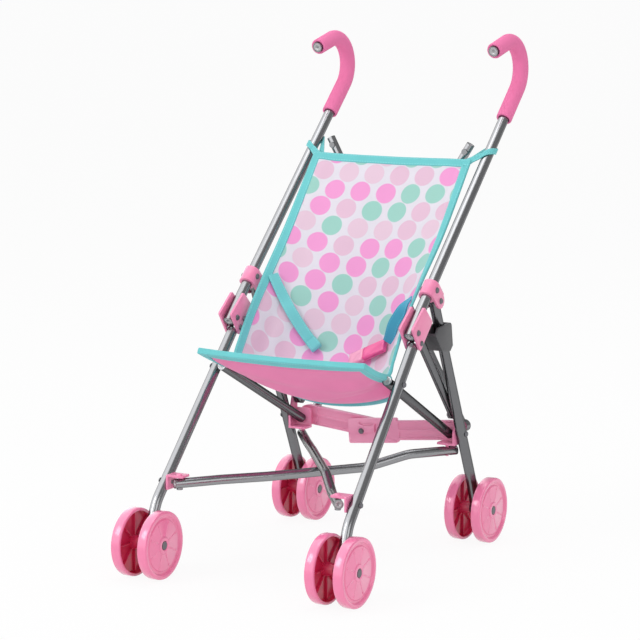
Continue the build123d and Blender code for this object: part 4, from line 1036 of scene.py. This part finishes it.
def strap_path():
    """Points of the right strap's middle line and the direction of its width at each."""
    path, across = [], []
    corner = on_push_tube(CORNER_AT, CORNER_DROP, CORNER_OUT)
    for step in range(-LEG_STEPS, LOOP_STEPS + LEG_STEPS + 1):
        share = min(max(step / LOOP_STEPS, 0.0), 1.0)
        angle = LOOP_TURN * (1 - 2 * share)
        along = STRAP_AT + LEG_SPREAD * (1 - 2 * share)
        on_loop = on_push_tube(along, LOOP_R * math.sin(angle), LOOP_R * math.cos(angle))
        away = max(-step, step - LOOP_STEPS, 0) / LEG_STEPS
        side_of_cloth = 1.0 if step < LOOP_STEPS / 2 else -1.0
        path.append(on_loop.lerp(corner + OFF_TUBE * (side_of_cloth * ENDS_APART), away))
        across.append(UP_TUBE.lerp(END_ACROSS, away))
    return path, across


right_strap = tape("right_corner_loop", *strap_path(), STRAP_W, STRAP_T, binding_tape, borders=STRAP_BORDER)
left_strap = mirrored(right_strap, "left_corner_loop")
for side, strap in (("left", left_strap), ("right", right_strap)):
    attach(strap, f"{side}_frame")
    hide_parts(f"{side}_corner_strap")

# %% [markdown]
# ## Harness
# Two webbing straps come from the side bindings and lie on the seat. The left one ends in a folded end, the
# right one carries a side-release buckle.

# %% Harness straps
WEB_W, WEB_T, WEB_BORDER, WEB_STEPS = 12 * MM, 1.6 * MM, 0.45 * MM, 48
LEAN_BY = 0.4  # the share of its length by which a strap has turned
END_R, END_BACK, END_STEPS = 2.4 * MM, 9 * MM, 12


def web_strap(name, first, last, lift, lean, material, folded_end):
    """A strap that lies on the sling between two places, raised in its middle and turned to the viewer."""
    path, across, spots = [], [], []
    for step in range(WEB_STEPS + 1):
        share = step / WEB_STEPS
        place, over = (a + (b - a) * share for a, b in zip(first, last))
        rise = CLOTH_T + WEB_T + lift * math.sin(math.pi * share)
        spots.append((off_sling(place, over), lean * smooth_step(0.0, LEAN_BY, share)))
        path.append(cloth_point(place, over) + spots[-1][0] * rise)
    for index, (out, turn) in enumerate(spots):
        run = path[min(index + 1, WEB_STEPS)] - path[max(index - 1, 0)]
        across.append(out.lerp(CAMERA_BACK, turn).cross(run))
    if folded_end:
        out, ahead = spots[-1][0], (path[-1] - path[-2]).normalized()
        turn_at = path[-1] + out * END_R
        for step in range(1, END_STEPS + 1):
            angle = math.pi * step / END_STEPS
            path.append(turn_at + ahead * (END_R * math.sin(angle)) - out * (END_R * math.cos(angle)))
        for step in range(1, END_STEPS + 1):
            path.append(turn_at + out * END_R - ahead * (END_BACK * step / END_STEPS))
        across.extend([across[-1]] * (2 * END_STEPS))
    strap = tape(name, path, across, WEB_W, WEB_T, material, borders=WEB_BORDER)
    folds_with_frame(strap)
    return strap


left_web = web_strap("left_harness_web", (1.98, -0.92), (3.0, -0.28), 1.5 * MM, 0.2, light_web, True)
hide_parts("harness_strap_left")
# The right strap takes the deeper blue webbing: painted shade.
right_web = web_strap("right_harness_web", (2.3, 0.95), (2.92, 0.55), 5.0 * MM, 0.75, painted_shade_web, False)
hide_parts("harness_strap_right")

# %% [markdown]
# ## Buckle
# The buckle is a socket that the webbing is sewn to and a tongue that clips into it. Both halves keep their
# CAD form with softer edges, and get a sunk panel on top and a recess on each side.

# %% Buckle
BUCKLE_FROM, BUCKLE_TO = (3.0, 0.53), (3.2, 0.12)
BUCKLE_EDGE, RECESS_MARGIN, RECESS_DEPTH = 1.0 * MM, 0.6 * MM, 1.6 * MM
buckle_up = off_sling(*((a + b) / 2 for a, b in zip(BUCKLE_FROM, BUCKLE_TO)))
buckle_run = (on_sling(*BUCKLE_TO) - on_sling(*BUCKLE_FROM)).normalized()
buckle_side = buckle_up.cross(buckle_run).normalized()
socket = soften("buckle_socket", "left_frame", BUCKLE_EDGE, socket_pink)
tongue = soften("buckle_tongue", "left_frame", BUCKLE_EDGE, tongue_pink)
for half, margin, depth in ((socket, 2.2 * MM, 0.7 * MM), (tongue, 2.6 * MM, 0.6 * MM)):
    sink_faces(half, buckle_up, margin, depth)
    for way in (buckle_side, -buckle_side):
        sink_faces(half, way, RECESS_MARGIN, RECESS_DEPTH)
    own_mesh(half)
    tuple(FOLD_ANCHOR)
